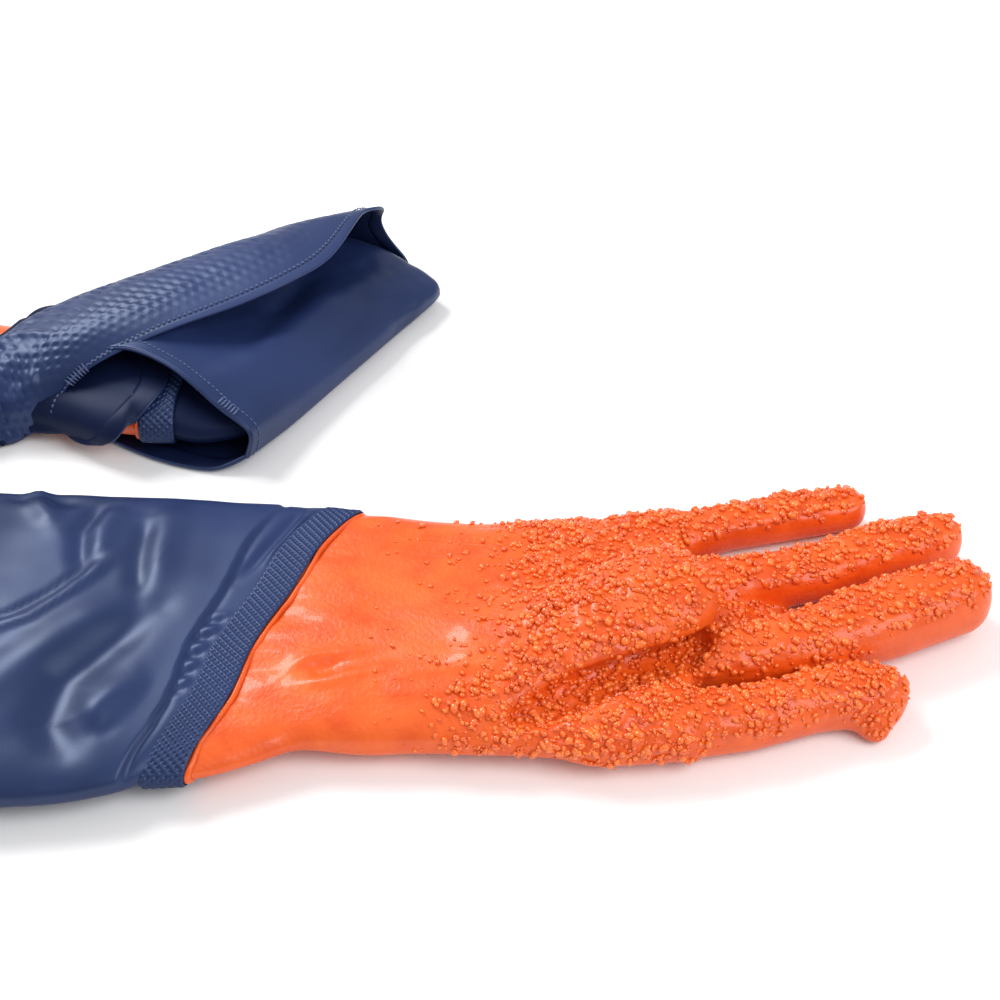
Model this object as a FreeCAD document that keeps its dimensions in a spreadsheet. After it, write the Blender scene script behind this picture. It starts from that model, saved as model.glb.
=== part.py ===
"""A pair of long-sleeved cryogenic gloves, lying on a table.

The front glove is a right hand that lies palm up with its sleeve laid straight out, and its loose
inner sleeve is still inside. The back glove is a left hand. Its sleeve is turned back over itself
down to the wrist, and its inner sleeve has been pulled out and lies over the hand.

Millimetres, +Z up, with every piece resting on or above the table at z = 0. Each piece is first
built in table coordinates and then moved so that the pair's box is centred over the origin.
"""

import FreeCAD
import Part
import math
import os
from collections import namedtuple

import Sketcher

SIZES = {
    # Film and knit thicknesses.
    "hand_film": 1.6,
    "lining_gap": 0.2,
    "lining_knit": 1.2,
    "sleeve_film": 1.2,
    "hem_film": 1.0,
    "slip": 0.6,
    # The hand, laid flat.
    "palm_width": 124,
    "palm_height": 24,
    "gauntlet_width": 126,
    "cuff_width": 152,
    "cuff_height": 19,
    "cuff_slant": 20,
    "cuff_tuck": 34,
    "palm_start": 62,
    "palm_end": 182,
    "finger_width": 30,
    "finger_height": 21,
    "finger_tip": 20,
    "thumb_width": 36,
    "thumb_height": 22,
    "granule_radius": 2,
    "granule_pitch": 11,
    # The weld between hand and sleeve.
    "band_width": 16,
    "band_film": 1.2,
    "bead_width": 4,
    "bead_film": 0.9,
    # The straight front sleeve.
    "sleeve_length": 360,
    "sleeve_width": 166,
    "sleeve_height": 27,
    "sleeve_neck": 44,
    "hem_width": 8,
    "seam_width": 5,
    "seam_film": 0.7,
    "inner_width": 152,
    "inner_height": 20,
    "inner_length": 276,
    "inner_tuck": 12,
    # Stitches and bar tacks.
    "stitch_length": 3,
    "stitch_width": 0.7,
    "stitch_pitch": 6,
    "tack_length": 12,
    # The turned-back sleeve of the back glove.
    "cuff_turn_width": 106,
    "cuff_turn_height": 42,
    "cuff_turn_length": 152,
    "cuff_turn_heading": 55,
    "cuff_mouth_slant": 13,
    "fold_width": 80,
    "fold_height": 26,
    "core_width": 74,
    "core_height": 22,
    "core_end_width": 58,
    "core_end_height": 18,
    "wrist_width": 60,
    "wrist_drop": 2.6,
    # The inner sleeve that lies over the back hand.
    "drape_mouth_width": 192,
    "drape_mouth_heading": -43,
    "drape_neck_width": 78,
    "drape_end_width": 136,
    "drape_height": 28,
    "drape_heel": 24,
    "room_ahead": 14,
    "room_aside": 10,
    "room_over": 2.4,
}

# A cross-section: its middle on the table plan, the height of its flat base, the way its plane
# faces in degrees, and its width and height as expressions over the sheet.
Station = namedtuple("Station", "x y base turn wide high")

# Where things lie on the table: both wrists, the near corner of the turned-back sleeve's mouth,
# and the end, neck and mouth of the inner sleeve laid over the back hand.
FRONT_WRIST = (-92.0, -92.0)
BACK_WRIST = (-158.0, 60.0)
TURNED_CORNER = (-117.0, 17.0)
DRAPE_END, DRAPE_NECK, DRAPE_MOUTH = (-404, 74), (-244, 72), (-129, 95)

doc = FreeCAD.newDocument("CryogenicGloves")
sheet = doc.addObject("Spreadsheet::Sheet", "Sizes")
for row, (alias, value) in enumerate(SIZES.items(), start=1):
    sheet.set(f"A{row}", alias)
    sheet.set(f"B{row}", str(value))
    sheet.setAlias(f"B{row}", alias)
doc.recompute()


def size(expression):
    """The value of an expression over the sheet's aliases, each written as Sizes.alias."""
    return float(sheet.evalExpression(expression))


def along(x, y, heading, distance, aside=0.0):
    """The point that lies distance ahead of (x, y) and aside to its left."""
    a = math.radians(heading)
    return (x + distance * math.cos(a) - aside * math.sin(a),
            y + distance * math.sin(a) + aside * math.cos(a))


def outline(name, station, inset):
    """A flat-based outline with round ends, standing in the station's plane, inset all round."""
    wide = f"{station.wide} - 2 * ({inset})"
    high = f"{station.high} - 2 * ({inset})"
    half, radius = (size(wide) - size(high)) / 2, size(high) / 2
    sketch = doc.addObject("Sketcher::SketchObject", name)
    up = FreeCAD.Vector(0, 0, 1)
    flat = [FreeCAD.Vector(x, y, 0) for x, y in
            ((-half, 0), (half, 0), (half, 2 * radius), (-half, 2 * radius))]
    right = Part.Circle(FreeCAD.Vector(half, radius, 0), up, radius)
    left = Part.Circle(FreeCAD.Vector(-half, radius, 0), up, radius)
    sketch.addGeometry([
        Part.LineSegment(flat[0], flat[1]),
        Part.ArcOfCircle(right, -math.pi / 2, math.pi / 2),
        Part.LineSegment(flat[2], flat[3]),
        Part.ArcOfCircle(left, math.pi / 2, 3 * math.pi / 2),
    ], False)
    sketch.addConstraint([
        Sketcher.Constraint("Tangent", 0, 2, 1, 1),
        Sketcher.Constraint("Tangent", 1, 2, 2, 1),
        Sketcher.Constraint("Tangent", 2, 2, 3, 1),
        Sketcher.Constraint("Tangent", 3, 2, 0, 1),
        Sketcher.Constraint("Equal", 1, 3),
        Sketcher.Constraint("Symmetric", 0, 1, 0, 2, -2),
        Sketcher.Constraint("PointOnObject", 0, 1, -1),
    ])
    flat_row = sketch.addConstraint(Sketcher.Constraint("Distance", 0, 2 * half))
    radius_row = sketch.addConstraint(Sketcher.Constraint("Radius", 1, radius))
    sketch.setExpression(f"Constraints[{flat_row}]", f"({wide}) - ({high})")
    sketch.setExpression(f"Constraints[{radius_row}]", f"({high}) / 2")
    stand = FreeCAD.Rotation(FreeCAD.Vector(1, 0, 0), 90)
    face = FreeCAD.Rotation(up, station.turn + 90)
    place = FreeCAD.Vector(station.x, station.y, station.base + size(inset))
    sketch.Placement = FreeCAD.Placement(place, face.multiply(stand))
    return sketch


def loft(name, stations, inset="0"):
    """A solid with straight sides through the stations, inset all round."""
    result = doc.addObject("Part::Loft", name)
    result.Sections = [outline(f"{name}_at_{i}", s, inset) for i, s in enumerate(stations)]
    result.Solid = True
    result.Ruled = True
    return result


def fuse(name, shapes):
    if len(shapes) == 1:
        return shapes[0]
    result = doc.addObject("Part::MultiFuse", name)
    result.Shapes = shapes
    return result


def cut(name, base, tool):
    result = doc.addObject("Part::Cut", name)
    result.Base = base
    result.Tool = tool
    return result


def moved(station, distance, heading):
    """The station moved along a heading."""
    x, y = along(station.x, station.y, heading, distance)
    return station._replace(x=x, y=y)


def heading_between(a, b):
    return math.degrees(math.atan2(b.y - a.y, b.x - a.x))


def open_ended(stations):
    """The stations with both ends carried 1 mm further out, for a cut that goes right through."""
    first, second, *_ = stations
    *_, before, last = stations
    return [moved(first, 1, heading_between(second, first)), *stations[1:-1],
            moved(last, 1, heading_between(before, last))]


def tube(name, stations, outer="0", wall="Sizes.sleeve_film"):
    """A film tube, open at both ends."""
    bore = loft(f"{name}_bore", open_ended(stations), f"{outer} + {wall}")
    return cut(name, loft(f"{name}_outside", stations, outer), bore)


def ring(name, stations, film):
    """A film ring close round the outside of a tube."""
    bore = loft(f"{name}_bore", open_ended(stations))
    return cut(name, loft(f"{name}_outside", stations, f"-1 * {film}"), bore)


def group(name, solids):
    """Many small solids as one piece; they stay separate solids."""
    result = doc.addObject("Part::Feature", name)
    result.Shape = Part.makeCompound(solids)
    return result


# The hand. Its own axis runs from the cuff to the fingers; side is 1 for a thumb on the right of
# that axis seen from above, and -1 for a thumb on the left.
Digit = namedtuple("Digit", "name root aside reach tip_aside wide")

DIGITS = [
    Digit("little", 150, 46, 255, 68, 1.0),
    Digit("ring", 150, 17, 292, 46, 1.0),
    Digit("middle", 150, -13, 298, 8, 1.0),
    Digit("index", 150, -43, 256, -34, 1.03),
]


# Where the thumb runs, as (ahead, aside) at its root, knuckle and tip, and its turn inwards.
FOLDED_THUMB = [(66, -26), (118, -22), (182, -4)], 14
SPREAD_THUMB = [(80, -36), (104, -52), (158, -72)], -22


class Hand:
    """One hand in table coordinates."""

    def __init__(self, name, x, y, heading, side, gauntlet, thumb_folded):
        self.name, self.x, self.y = name, x, y
        self.heading, self.side, self.gauntlet = heading, side, gauntlet
        self.thumb_folded = thumb_folded

    def at(self, ahead, aside):
        return along(self.x, self.y, self.heading, ahead, self.side * aside)

    def palm(self):
        tall = "Sizes.palm_height"
        palm = [(size("Sizes.palm_start") + 40, "Sizes.palm_width"),
                (size("Sizes.palm_end"), "Sizes.palm_width * 0.97")]
        return self.gauntlet + [Station(*self.at(ahead, 0), 0, self.heading, wide, tall)
                                for ahead, wide in palm]

    def digit(self, digit, inset):
        turn = self.heading + self.side * math.degrees(
            math.atan2(digit.tip_aside - digit.aside, digit.reach - digit.root))
        wide, tip = f"Sizes.finger_width * {digit.wide}", f"Sizes.finger_tip * {digit.wide}"
        high, end = "Sizes.finger_height", "Sizes.finger_tip * 0.7"
        root = self.at(digit.root, digit.aside)
        top = self.at(digit.reach, digit.tip_aside)
        shoulder = along(*top, turn, -size("Sizes.finger_height") / 2)
        cap = along(*top, turn, -size(inset))
        return [Station(*root, 0, turn, wide, high), Station(*shoulder, 0, turn, wide, high),
                Station(*cap, 0, turn, tip, end)]

    def thumb(self, inset):
        """The thumb: folded over the palm, or spread flat beside it."""
        wide, high = "Sizes.thumb_width", "Sizes.thumb_height"
        if self.thumb_folded:
            spots, turn = FOLDED_THUMB
            lift = size("Sizes.palm_height + Sizes.granule_radius")
            bases = [1, lift - 8, lift + 1]
        else:
            spots, turn = SPREAD_THUMB
            bases = [0, 0, 0]
        turn = self.heading + self.side * turn
        root, knuckle, tip = (self.at(*spot) for spot in spots)
        shoulder = along(*tip, turn, -size("Sizes.thumb_width") / 3)
        cap = along(*tip, turn, -size(inset))
        return [Station(*root, bases[0], turn, wide, high),
                Station(*knuckle, bases[1], turn, wide, high),
                Station(*shoulder, bases[2], turn, wide, high),
                Station(*cap, bases[2], turn, f"{wide} * 0.7", f"{high} * 0.7")]

    def solid(self, name, inset, through):
        """The hand as one solid, inset all round; through carries its cuff end further back."""
        palm = self.palm()
        back = heading_between(palm[1], palm[0])
        palm[0] = moved(palm[0], through, back)
        palm[-1] = moved(palm[-1], -size(inset), self.heading)
        parts = [loft(f"{name}_palm", palm, inset)]
        parts += [loft(f"{name}_{d.name}", self.digit(d, inset), inset) for d in DIGITS]
        parts.append(loft(f"{name}_thumb", self.thumb(inset), inset))
        return fuse(name, parts)

    def shell(self, name, outer, wall):
        """A layer of the hand, open at the cuff."""
        outside = self.solid(f"{name}_outside", outer, 0)
        return cut(name, outside, self.solid(f"{name}_inside", f"{outer} + {wall}", 1))

    def granules(self, name):
        """Half-round grains, staggered over the flat top of the palm and fingers."""
        radius, pitch = size("Sizes.granule_radius"), size("Sizes.granule_pitch")
        top = size("Sizes.palm_height")
        start, stop = size("Sizes.palm_start") + 44, size("Sizes.palm_end") - 6
        reach = size("Sizes.palm_width") / 2 - size("Sizes.palm_height") / 2 - radius
        solids = []
        for row in range(int((stop - start) / pitch) + 1):
            for column in range(-9, 10):
                aside = (column + 0.5 * (row % 2)) * pitch
                bare = aside > 24 or not self.thumb_folded
                if abs(aside) < reach and bare:
                    solids.append(self.grain(start + row * pitch, aside, top, radius))
        for digit in DIGITS:
            first, last = size("Sizes.palm_end") + radius, digit.reach - size("Sizes.finger_height")
            for step in range(int((last - first) / pitch) + 1):
                ahead = first + step * pitch
                share = (ahead - digit.root) / (digit.reach - digit.root)
                aside = digit.aside + share * (digit.tip_aside - digit.aside)
                solids.append(self.grain(ahead, aside, size("Sizes.finger_height"), radius))
        return group(name, solids)

    def grain(self, ahead, aside, height, radius):
        place = FreeCAD.Vector(*self.at(ahead, aside), height)
        return Part.makeSphere(radius, place, FreeCAD.Vector(0, 0, 1), 0, 90, 360)


def stitches(name, middle, heading, height, count):
    """A row of short flat stitches across a heading, on a flat hem."""
    long, wide, tall = (size(f"Sizes.{n}") for n in ("stitch_length", "stitch_width", "seam_film"))
    solids = []
    for step in range(count):
        aside = (step - (count - 1) / 2) * size("Sizes.stitch_pitch")
        stitch = Part.makeBox(wide, long, tall, FreeCAD.Vector(-wide / 2, -long / 2, 0))
        spot = along(*middle, heading, 0, aside)
        stitch.Placement = FreeCAD.Placement(FreeCAD.Vector(*spot, height),
                                             FreeCAD.Rotation(FreeCAD.Vector(0, 0, 1), heading))
        solids.append(stitch)
    return group(name, solids)


def bar_tack(name, spot, heading, height):
    """A ladder of close cross stitches that locks the end of a hem."""
    rungs, tall = 6, size("Sizes.seam_film")
    length, wide = size("Sizes.hem_width") * 0.8, size("Sizes.stitch_width")
    solids = []
    for rung in range(rungs):
        aside = (rung - (rungs - 1) / 2) * size("Sizes.tack_length") / rungs
        bar = Part.makeBox(length, wide, tall, FreeCAD.Vector(-length / 2, -wide / 2, 0))
        bar.Placement = FreeCAD.Placement(FreeCAD.Vector(*along(*spot, heading, 0, aside), height),
                                          FreeCAD.Rotation(FreeCAD.Vector(0, 0, 1), heading))
        solids.append(bar)
    return group(name, solids)


def underside_seam(name, a, b):
    """The welded lengthwise seam under a sleeve, from one plan point to another."""
    wide, film = size("Sizes.seam_width"), size("Sizes.seam_film")
    heading = math.atan2(b[1] - a[1], b[0] - a[0])
    seam = doc.addObject("Part::Box", name)
    seam.Length = math.dist(a, b)
    seam.setExpression("Width", "Sizes.seam_width")
    seam.setExpression("Height", "Sizes.seam_film")
    corner = along(*a, math.degrees(heading), 0, -wide / 2)
    seam.Placement = FreeCAD.Placement(
        FreeCAD.Vector(*corner, size("Sizes.band_film") - film),
        FreeCAD.Rotation(FreeCAD.Vector(0, 0, 1), math.degrees(heading)))
    return seam


def front_glove():
    """The right-hand glove that lies straight along X."""
    wrist_x, wrist_y = FRONT_WRIST
    slant, tuck = size("Sizes.cuff_slant"), size("Sizes.cuff_tuck")
    rim, skin = size("Sizes.band_film"), size("Sizes.sleeve_film")
    turn = -slant
    cuff = Station(wrist_x - tuck, wrist_y, rim + skin, turn, "Sizes.cuff_width",
                   "Sizes.cuff_height")
    gauntlet = [
        cuff,
        cuff._replace(x=wrist_x + 10),
        Station(wrist_x + size("Sizes.palm_start"), wrist_y, 0, 0, "Sizes.gauntlet_width",
                "Sizes.palm_height"),
    ]
    hand = Hand("front", wrist_x, wrist_y, 0, 1, gauntlet, thumb_folded=True)
    pieces = hand_layers(hand)

    bead_start = cuff._replace(x=wrist_x + 1)
    bead_end = cuff._replace(x=wrist_x + 1 + size("Sizes.bead_width"))
    pieces["front_cuff_bead"] = ring("front_cuff_bead", [bead_start, bead_end], "Sizes.bead_film")

    grown = cuff._replace(wide="Sizes.cuff_width + 2 * Sizes.sleeve_film",
                          high="Sizes.cuff_height + 2 * Sizes.sleeve_film", base=rim)
    band = [grown._replace(x=wrist_x - size("Sizes.band_width")), grown._replace(x=wrist_x)]
    pieces["front_weld_band"] = ring("front_weld_band", band, "Sizes.band_film")

    arm_x = wrist_x - size("Sizes.sleeve_length")
    body = Station(arm_x, wrist_y, rim, 0, "Sizes.sleeve_width", "Sizes.sleeve_height")
    neck_x = wrist_x - tuck - size("Sizes.sleeve_neck")
    sleeve = [grown._replace(x=wrist_x - 0.2), grown._replace(x=wrist_x - tuck),
              body._replace(x=neck_x), body]
    pieces["front_sleeve"] = tube("front_sleeve", sleeve)
    hem = [body, body._replace(x=arm_x + size("Sizes.hem_width"))]
    pieces["front_sleeve_hem"] = ring("front_sleeve_hem", hem, "Sizes.hem_film")
    pieces["front_sleeve_seam"] = underside_seam(
        "front_sleeve_seam", (arm_x + size("Sizes.hem_width") + 1, wrist_y), (neck_x, wrist_y))
    hem_top = rim + size("Sizes.sleeve_height + Sizes.hem_film")
    pieces["front_hem_stitches"] = stitches(
        "front_hem_stitches", (arm_x + size("Sizes.hem_width") / 2, wrist_y), 0, hem_top, 21)
    pieces.update(front_inner(arm_x, wrist_y, rim))
    return pieces


def front_inner(arm_x, wrist_y, rim):
    """The loose inner sleeve, laid in the front sleeve with its hem just inside the arm end."""
    lift = rim + size("Sizes.sleeve_film + Sizes.hem_film + Sizes.slip")
    start = Station(arm_x + size("Sizes.inner_tuck"), wrist_y, lift, 0, "Sizes.inner_width",
                    "Sizes.inner_height")
    end = start._replace(x=start.x + size("Sizes.inner_length"))
    hem = [start, start._replace(x=start.x + size("Sizes.hem_width"))]
    top = lift + size("Sizes.inner_height + Sizes.hem_film")
    middle = (start.x + size("Sizes.hem_width") / 2, wrist_y)
    return {
        "front_inner_sleeve": tube("front_inner_sleeve", [start, end]),
        "front_inner_sleeve_hem": ring("front_inner_sleeve_hem", hem, "Sizes.hem_film"),
        "front_inner_hem_stitches": stitches("front_inner_hem_stitches", middle, 0, top, 19),
    }


def hand_layers(hand):
    """The moulded shell, the grip on its face and the knit lining inside it."""
    lining = "Sizes.hand_film + Sizes.lining_gap"
    return {
        f"{hand.name}_hand_shell": hand.shell(f"{hand.name}_hand_shell", "0", "Sizes.hand_film"),
        f"{hand.name}_hand_lining": hand.shell(f"{hand.name}_hand_lining", lining,
                                               "Sizes.lining_knit"),
        f"{hand.name}_grip_granules": hand.granules(f"{hand.name}_grip_granules"),
    }


def back_glove():
    """The left-hand glove, pointing along -X, with its sleeve turned back to the wrist."""
    wrist_x, wrist_y = BACK_WRIST
    rim, skin = size("Sizes.band_film"), size("Sizes.sleeve_film")
    base = rim + skin + size("Sizes.wrist_drop")
    band_end = wrist_x - size("Sizes.band_width")
    bead_end = band_end - size("Sizes.bead_width") - 1
    low = "Sizes.core_height - 2 * Sizes.sleeve_film"
    cuff = Station(wrist_x + 7, wrist_y, base, 180, "Sizes.wrist_width", low)
    heel = Station(wrist_x - 84, wrist_y + 12, 0, 180, "Sizes.wrist_width * 1.2",
                   "Sizes.palm_height")
    gauntlet = [cuff, cuff._replace(x=bead_end - 5), heel]
    hand = Hand("back", wrist_x - 6, wrist_y + 24, 180, -1, gauntlet, thumb_folded=False)
    pieces = hand_layers(hand)
    bead = [cuff._replace(x=bead_end), cuff._replace(x=band_end - 1)]
    pieces["back_cuff_bead"] = ring("back_cuff_bead", bead, "Sizes.bead_film")

    grown = Station(wrist_x, wrist_y, base - skin, 180,
                    "Sizes.wrist_width + 2 * Sizes.sleeve_film", "Sizes.core_height")
    band = [grown, grown._replace(x=band_end)]
    pieces["back_weld_band"] = ring("back_weld_band", band, "Sizes.band_film")
    pieces.update(turned_sleeve(grown, band_end))
    pieces.update(draped_sleeve())
    return pieces


def turned_station(distance, aside, wide, high, base, turn):
    """A cross-section of the turned-back sleeve, its middle aside from the near edge."""
    spot = along(*TURNED_CORNER, size("Sizes.cuff_turn_heading"), distance, aside)
    return Station(*spot, base, turn, wide, high)


def sleeve_core(grown, band_end):
    """The sleeve's inner run: from the weld round to the fold, where the arm goes in."""
    turn = size("Sizes.cuff_turn_heading") + 180
    length, middle = size("Sizes.cuff_turn_length"), size("Sizes.fold_width") / 2
    wrist_x, wrist_y = BACK_WRIST
    elbow = turned_station(62, middle + 2, "Sizes.core_width", "Sizes.core_height", grown.base, turn)
    entry = turned_station(length, middle, "Sizes.core_end_width", "Sizes.core_end_height",
                           grown.base, turn)
    return [grown._replace(x=band_end + 0.2), grown._replace(x=wrist_x + 8),
            grown._replace(x=wrist_x + 22, y=wrist_y + 4, turn=200),
            grown._replace(x=wrist_x + 33, y=wrist_y + 17, turn=222), elbow, entry]


def turned_sleeve(grown, band_end):
    """The back sleeve: a core from the wrist to the fold, and the turned-back cuff round it."""
    rim, slant = size("Sizes.band_film"), size("Sizes.cuff_mouth_slant")
    heading, length = size("Sizes.cuff_turn_heading"), size("Sizes.cuff_turn_length")
    wide, high, skin = "Sizes.cuff_turn_width", "Sizes.cuff_turn_height", "Sizes.sleeve_film"
    lag = size("Sizes.cuff_turn_width") / 2 * math.tan(math.radians(slant))
    mouth = turned_station(lag, size(wide) / 2, f"{wide} / cos(Sizes.cuff_mouth_slant)", high,
                           rim, heading - slant)
    hem_end = moved(mouth, size("Sizes.hem_width"), heading)
    fold = turned_station(length, size("Sizes.fold_width") / 2, "Sizes.fold_width",
                          "Sizes.fold_height", rim, heading)
    film = size(skin)
    hollow = [moved(mouth, -1, heading), hem_end, moved(fold, -1.6 * film, heading)]
    core = sleeve_core(grown, band_end)
    layer = cut("back_cuff_layer", loft("back_cuff_outside", [mouth, hem_end, fold]),
                loft("back_cuff_gap", hollow, skin))
    arm = [moved(core[-1], 8, core[-1].turn), core[-1]]
    opened = cut("back_cuff_opened", layer, loft("back_arm_opening", open_ended(arm), skin))
    top = rim + size("Sizes.cuff_turn_height + Sizes.hem_film")
    row = moved(mouth, size("Sizes.hem_width") / 2, heading)
    tack = along(row.x, row.y, mouth.turn, 0, -34)
    seam_start = turned_station(58, size(wide) / 2 - 6, wide, high, 0, heading)
    return {
        "back_sleeve": fuse("back_sleeve", [opened, tube("back_core", core)]),
        "back_sleeve_hem": ring("back_sleeve_hem", [mouth, hem_end], "Sizes.hem_film"),
        "back_hem_stitches": stitches("back_hem_stitches", along(row.x, row.y, mouth.turn, 0, 6),
                                      mouth.turn, top, 9),
        "back_sleeve_bar_tack": bar_tack("back_sleeve_bar_tack", tack, mouth.turn, top),
        "back_sleeve_seam": underside_seam("back_sleeve_seam", (seam_start.x, seam_start.y),
                                           (fold.x, fold.y)),
    }


def draped_sleeve():
    """The back glove's inner sleeve, flared over its own hand with its mouth over the cuff."""
    lift = size("Sizes.palm_height + Sizes.granule_radius + Sizes.slip + Sizes.hem_film")
    facing = size("Sizes.drape_mouth_heading")
    high = "Sizes.drape_height"
    end = Station(*DRAPE_END, lift, 0, "Sizes.drape_end_width", high)
    neck = Station(*DRAPE_NECK, lift, 0, "Sizes.drape_neck_width", high)
    lip = Station(*DRAPE_MOUTH, lift, facing, "Sizes.drape_mouth_width", high)
    hem_start = moved(lip, -size("Sizes.hem_width"), facing)
    heel = moved(hem_start, -size("Sizes.drape_heel"), facing)
    stations = [end, neck, heel._replace(wide="Sizes.drape_mouth_width * 0.93"), hem_start, lip]
    top = lift + size("Sizes.drape_height + Sizes.hem_film")
    row = moved(lip, -size("Sizes.hem_width") / 2, facing)
    tack = along(row.x, row.y, facing, 0, -66)
    return {
        "back_inner_sleeve": cut("back_inner_sleeve", tube("back_inner_tube", stations),
                                 cuff_room("back_inner_room", lift)),
        "back_inner_sleeve_hem": cut("back_inner_sleeve_hem",
                                     ring("back_inner_hem_ring", [hem_start, lip], "Sizes.hem_film"),
                                     cuff_room("back_inner_hem_room", lift)),
        "back_inner_hem_stitches": stitches("back_inner_hem_stitches",
                                            along(row.x, row.y, facing, 0, 8), facing, top, 21),
        "back_inner_bar_tack": bar_tack("back_inner_bar_tack", tack, facing, top),
    }


def cuff_room(name, lift):
    """The room that the turned-back cuff needs in the draped sleeve's mouth and lower wall."""
    heading, ahead, aside = (size(f"Sizes.{n}") for n in
                             ("cuff_turn_heading", "room_ahead", "room_aside"))
    room = doc.addObject("Part::Box", name)
    room.setExpression("Length", "Sizes.cuff_turn_length + 2 * Sizes.room_ahead")
    room.setExpression("Width", "Sizes.cuff_turn_width + 2 * Sizes.room_aside")
    bottom = lift - size("Sizes.hem_film + 5 * Sizes.slip")
    top = size("Sizes.band_film + Sizes.cuff_turn_height + Sizes.hem_film + Sizes.seam_film"
               " + Sizes.room_over")
    room.Height = top - bottom
    room.Placement = FreeCAD.Placement(
        FreeCAD.Vector(*along(*TURNED_CORNER, heading, -ahead, -aside), bottom),
        FreeCAD.Rotation(FreeCAD.Vector(0, 0, 1), heading))
    return room


def centred(pieces):
    """Moves every piece so that the pair's box stands centred over the origin."""
    box = FreeCAD.BoundBox()
    for piece in pieces.values():
        box.add(piece.Shape.BoundBox)
    shift = FreeCAD.Placement(FreeCAD.Vector(-box.Center.x, -box.Center.y, 0), FreeCAD.Rotation())
    for piece in pieces.values():
        piece.Placement = shift.multiply(piece.Placement)
    return box


def main():
    pieces = front_glove()
    pieces.update(back_glove())
    doc.recompute()
    box = centred(pieces)
    doc.recompute()
    for thing in doc.Objects:
        if "Invalid" in thing.State or "Error" in thing.State:
            raise RuntimeError(f"{thing.Name} did not build: {thing.State}")
    os.makedirs("parts", exist_ok=True)
    for name, piece in pieces.items():
        piece.Label = name
        shape = piece.Shape
        if shape.isNull() or not shape.isValid() or not shape.Solids:
            raise RuntimeError(f"{name} has no valid solid")
        shape.exportStep(f"parts/{name}.step")
        print(f"{name}: {len(shape.Solids)} solid(s), {shape.Volume / 1000:.1f} cm3, "
              f"z {shape.BoundBox.ZMin:.2f} to {shape.BoundBox.ZMax:.2f}")
    print(f"shift {-box.Center.x:.2f}, {-box.Center.y:.2f}; "
          f"size {box.XLength:.1f} x {box.YLength:.1f} x {box.ZLength:.1f}")


main()
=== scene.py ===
"""Looks for the pair of long-sleeved cryogenic gloves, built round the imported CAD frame.

Shapes are worked out in millimetres on the table plan: x to the right along the front glove, y away
from the camera, z up. TABLE carries that plan into the frame's own metres.
"""

import math

import bmesh
import bpy
import numpy as np
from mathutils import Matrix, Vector


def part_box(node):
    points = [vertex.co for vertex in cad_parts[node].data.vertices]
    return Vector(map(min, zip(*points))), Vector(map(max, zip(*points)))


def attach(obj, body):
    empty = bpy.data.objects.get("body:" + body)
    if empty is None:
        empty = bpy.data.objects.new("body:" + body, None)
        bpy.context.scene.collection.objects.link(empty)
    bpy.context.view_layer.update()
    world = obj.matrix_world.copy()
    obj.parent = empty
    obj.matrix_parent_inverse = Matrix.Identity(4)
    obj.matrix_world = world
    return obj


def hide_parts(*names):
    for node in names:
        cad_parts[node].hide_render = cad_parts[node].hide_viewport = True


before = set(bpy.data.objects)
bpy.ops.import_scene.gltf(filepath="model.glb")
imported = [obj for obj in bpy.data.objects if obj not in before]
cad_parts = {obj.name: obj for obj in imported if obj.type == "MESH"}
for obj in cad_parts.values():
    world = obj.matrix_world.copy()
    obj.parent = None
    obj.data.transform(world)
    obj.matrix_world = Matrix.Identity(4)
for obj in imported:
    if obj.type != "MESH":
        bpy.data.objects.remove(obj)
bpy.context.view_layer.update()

MM = 0.001
# The front wrist on the table plan, and where the frame has it.
WRIST = np.array([-92.0, -92.0, 0.0])
BAND_REACH = np.array([-8.0, 0.0, 0.0])
BACK_HAND = np.array([-164.0, 84.0, 0.0])


def table_origin():
    """The table plan's origin in the frame, in metres, found from the front weld band."""
    low, high = (np.array(corner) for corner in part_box("front_weld_band"))
    middle = (low + high) / 2
    middle[2] = 0.0
    return middle - (WRIST + BAND_REACH) * MM


TABLE = table_origin()


# ---------------------------------------------------------------- numbers and meshes

def smooth(value, start, stop):
    """0 below start, 1 above stop, and a smooth step between."""
    share = np.clip((value - start) / (stop - start), 0.0, 1.0)
    return share * share * (3.0 - 2.0 * share)


def blend_min(a, b, width):
    """The lower of two fields, rounded over width."""
    share = np.clip(0.5 + 0.5 * (b - a) / width, 0.0, 1.0)
    return b + (a - b) * share - width * share * (1.0 - share)


def curve(value, points):
    """A smooth line through (place, height) points, read at value."""
    places, heights = np.array(points, float).T
    slopes = np.gradient(heights, places)
    i = np.clip(np.searchsorted(places, value) - 1, 0, len(places) - 2)
    gap = places[i + 1] - places[i]
    t = np.clip((value - places[i]) / gap, 0.0, 1.0)
    return ((2 * t**3 - 3 * t**2 + 1) * heights[i] + (t**3 - 2 * t**2 + t) * gap * slopes[i]
            + (-2 * t**3 + 3 * t**2) * heights[i + 1] + (t**3 - t**2) * gap * slopes[i + 1])


def lattice(seed, size=32):
    return np.random.default_rng(seed).uniform(-1.0, 1.0, (size, size, size))


def noise(points, scale, seed):
    """Smooth noise from -1 to 1 at points; scale is the size of one lump."""
    table = lattice(seed)
    size = len(table)
    p = np.asarray(points, float) / scale
    cell = np.floor(p).astype(int)
    t = p - cell
    t = t * t * (3.0 - 2.0 * t)
    total = np.zeros(p.shape[:-1])
    for corner in np.ndindex(2, 2, 2):
        i = (cell + corner) % size
        weight = np.prod(np.where(np.array(corner) == 1, t, 1.0 - t), axis=-1)
        total += weight * table[i[..., 0], i[..., 1], i[..., 2]]
    return total


def fractal(points, scale, seed, octaves=3):
    """Several sizes of noise laid over each other."""
    return sum(noise(points, scale / 2**n, seed + n) / 2**n for n in range(octaves))


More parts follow.
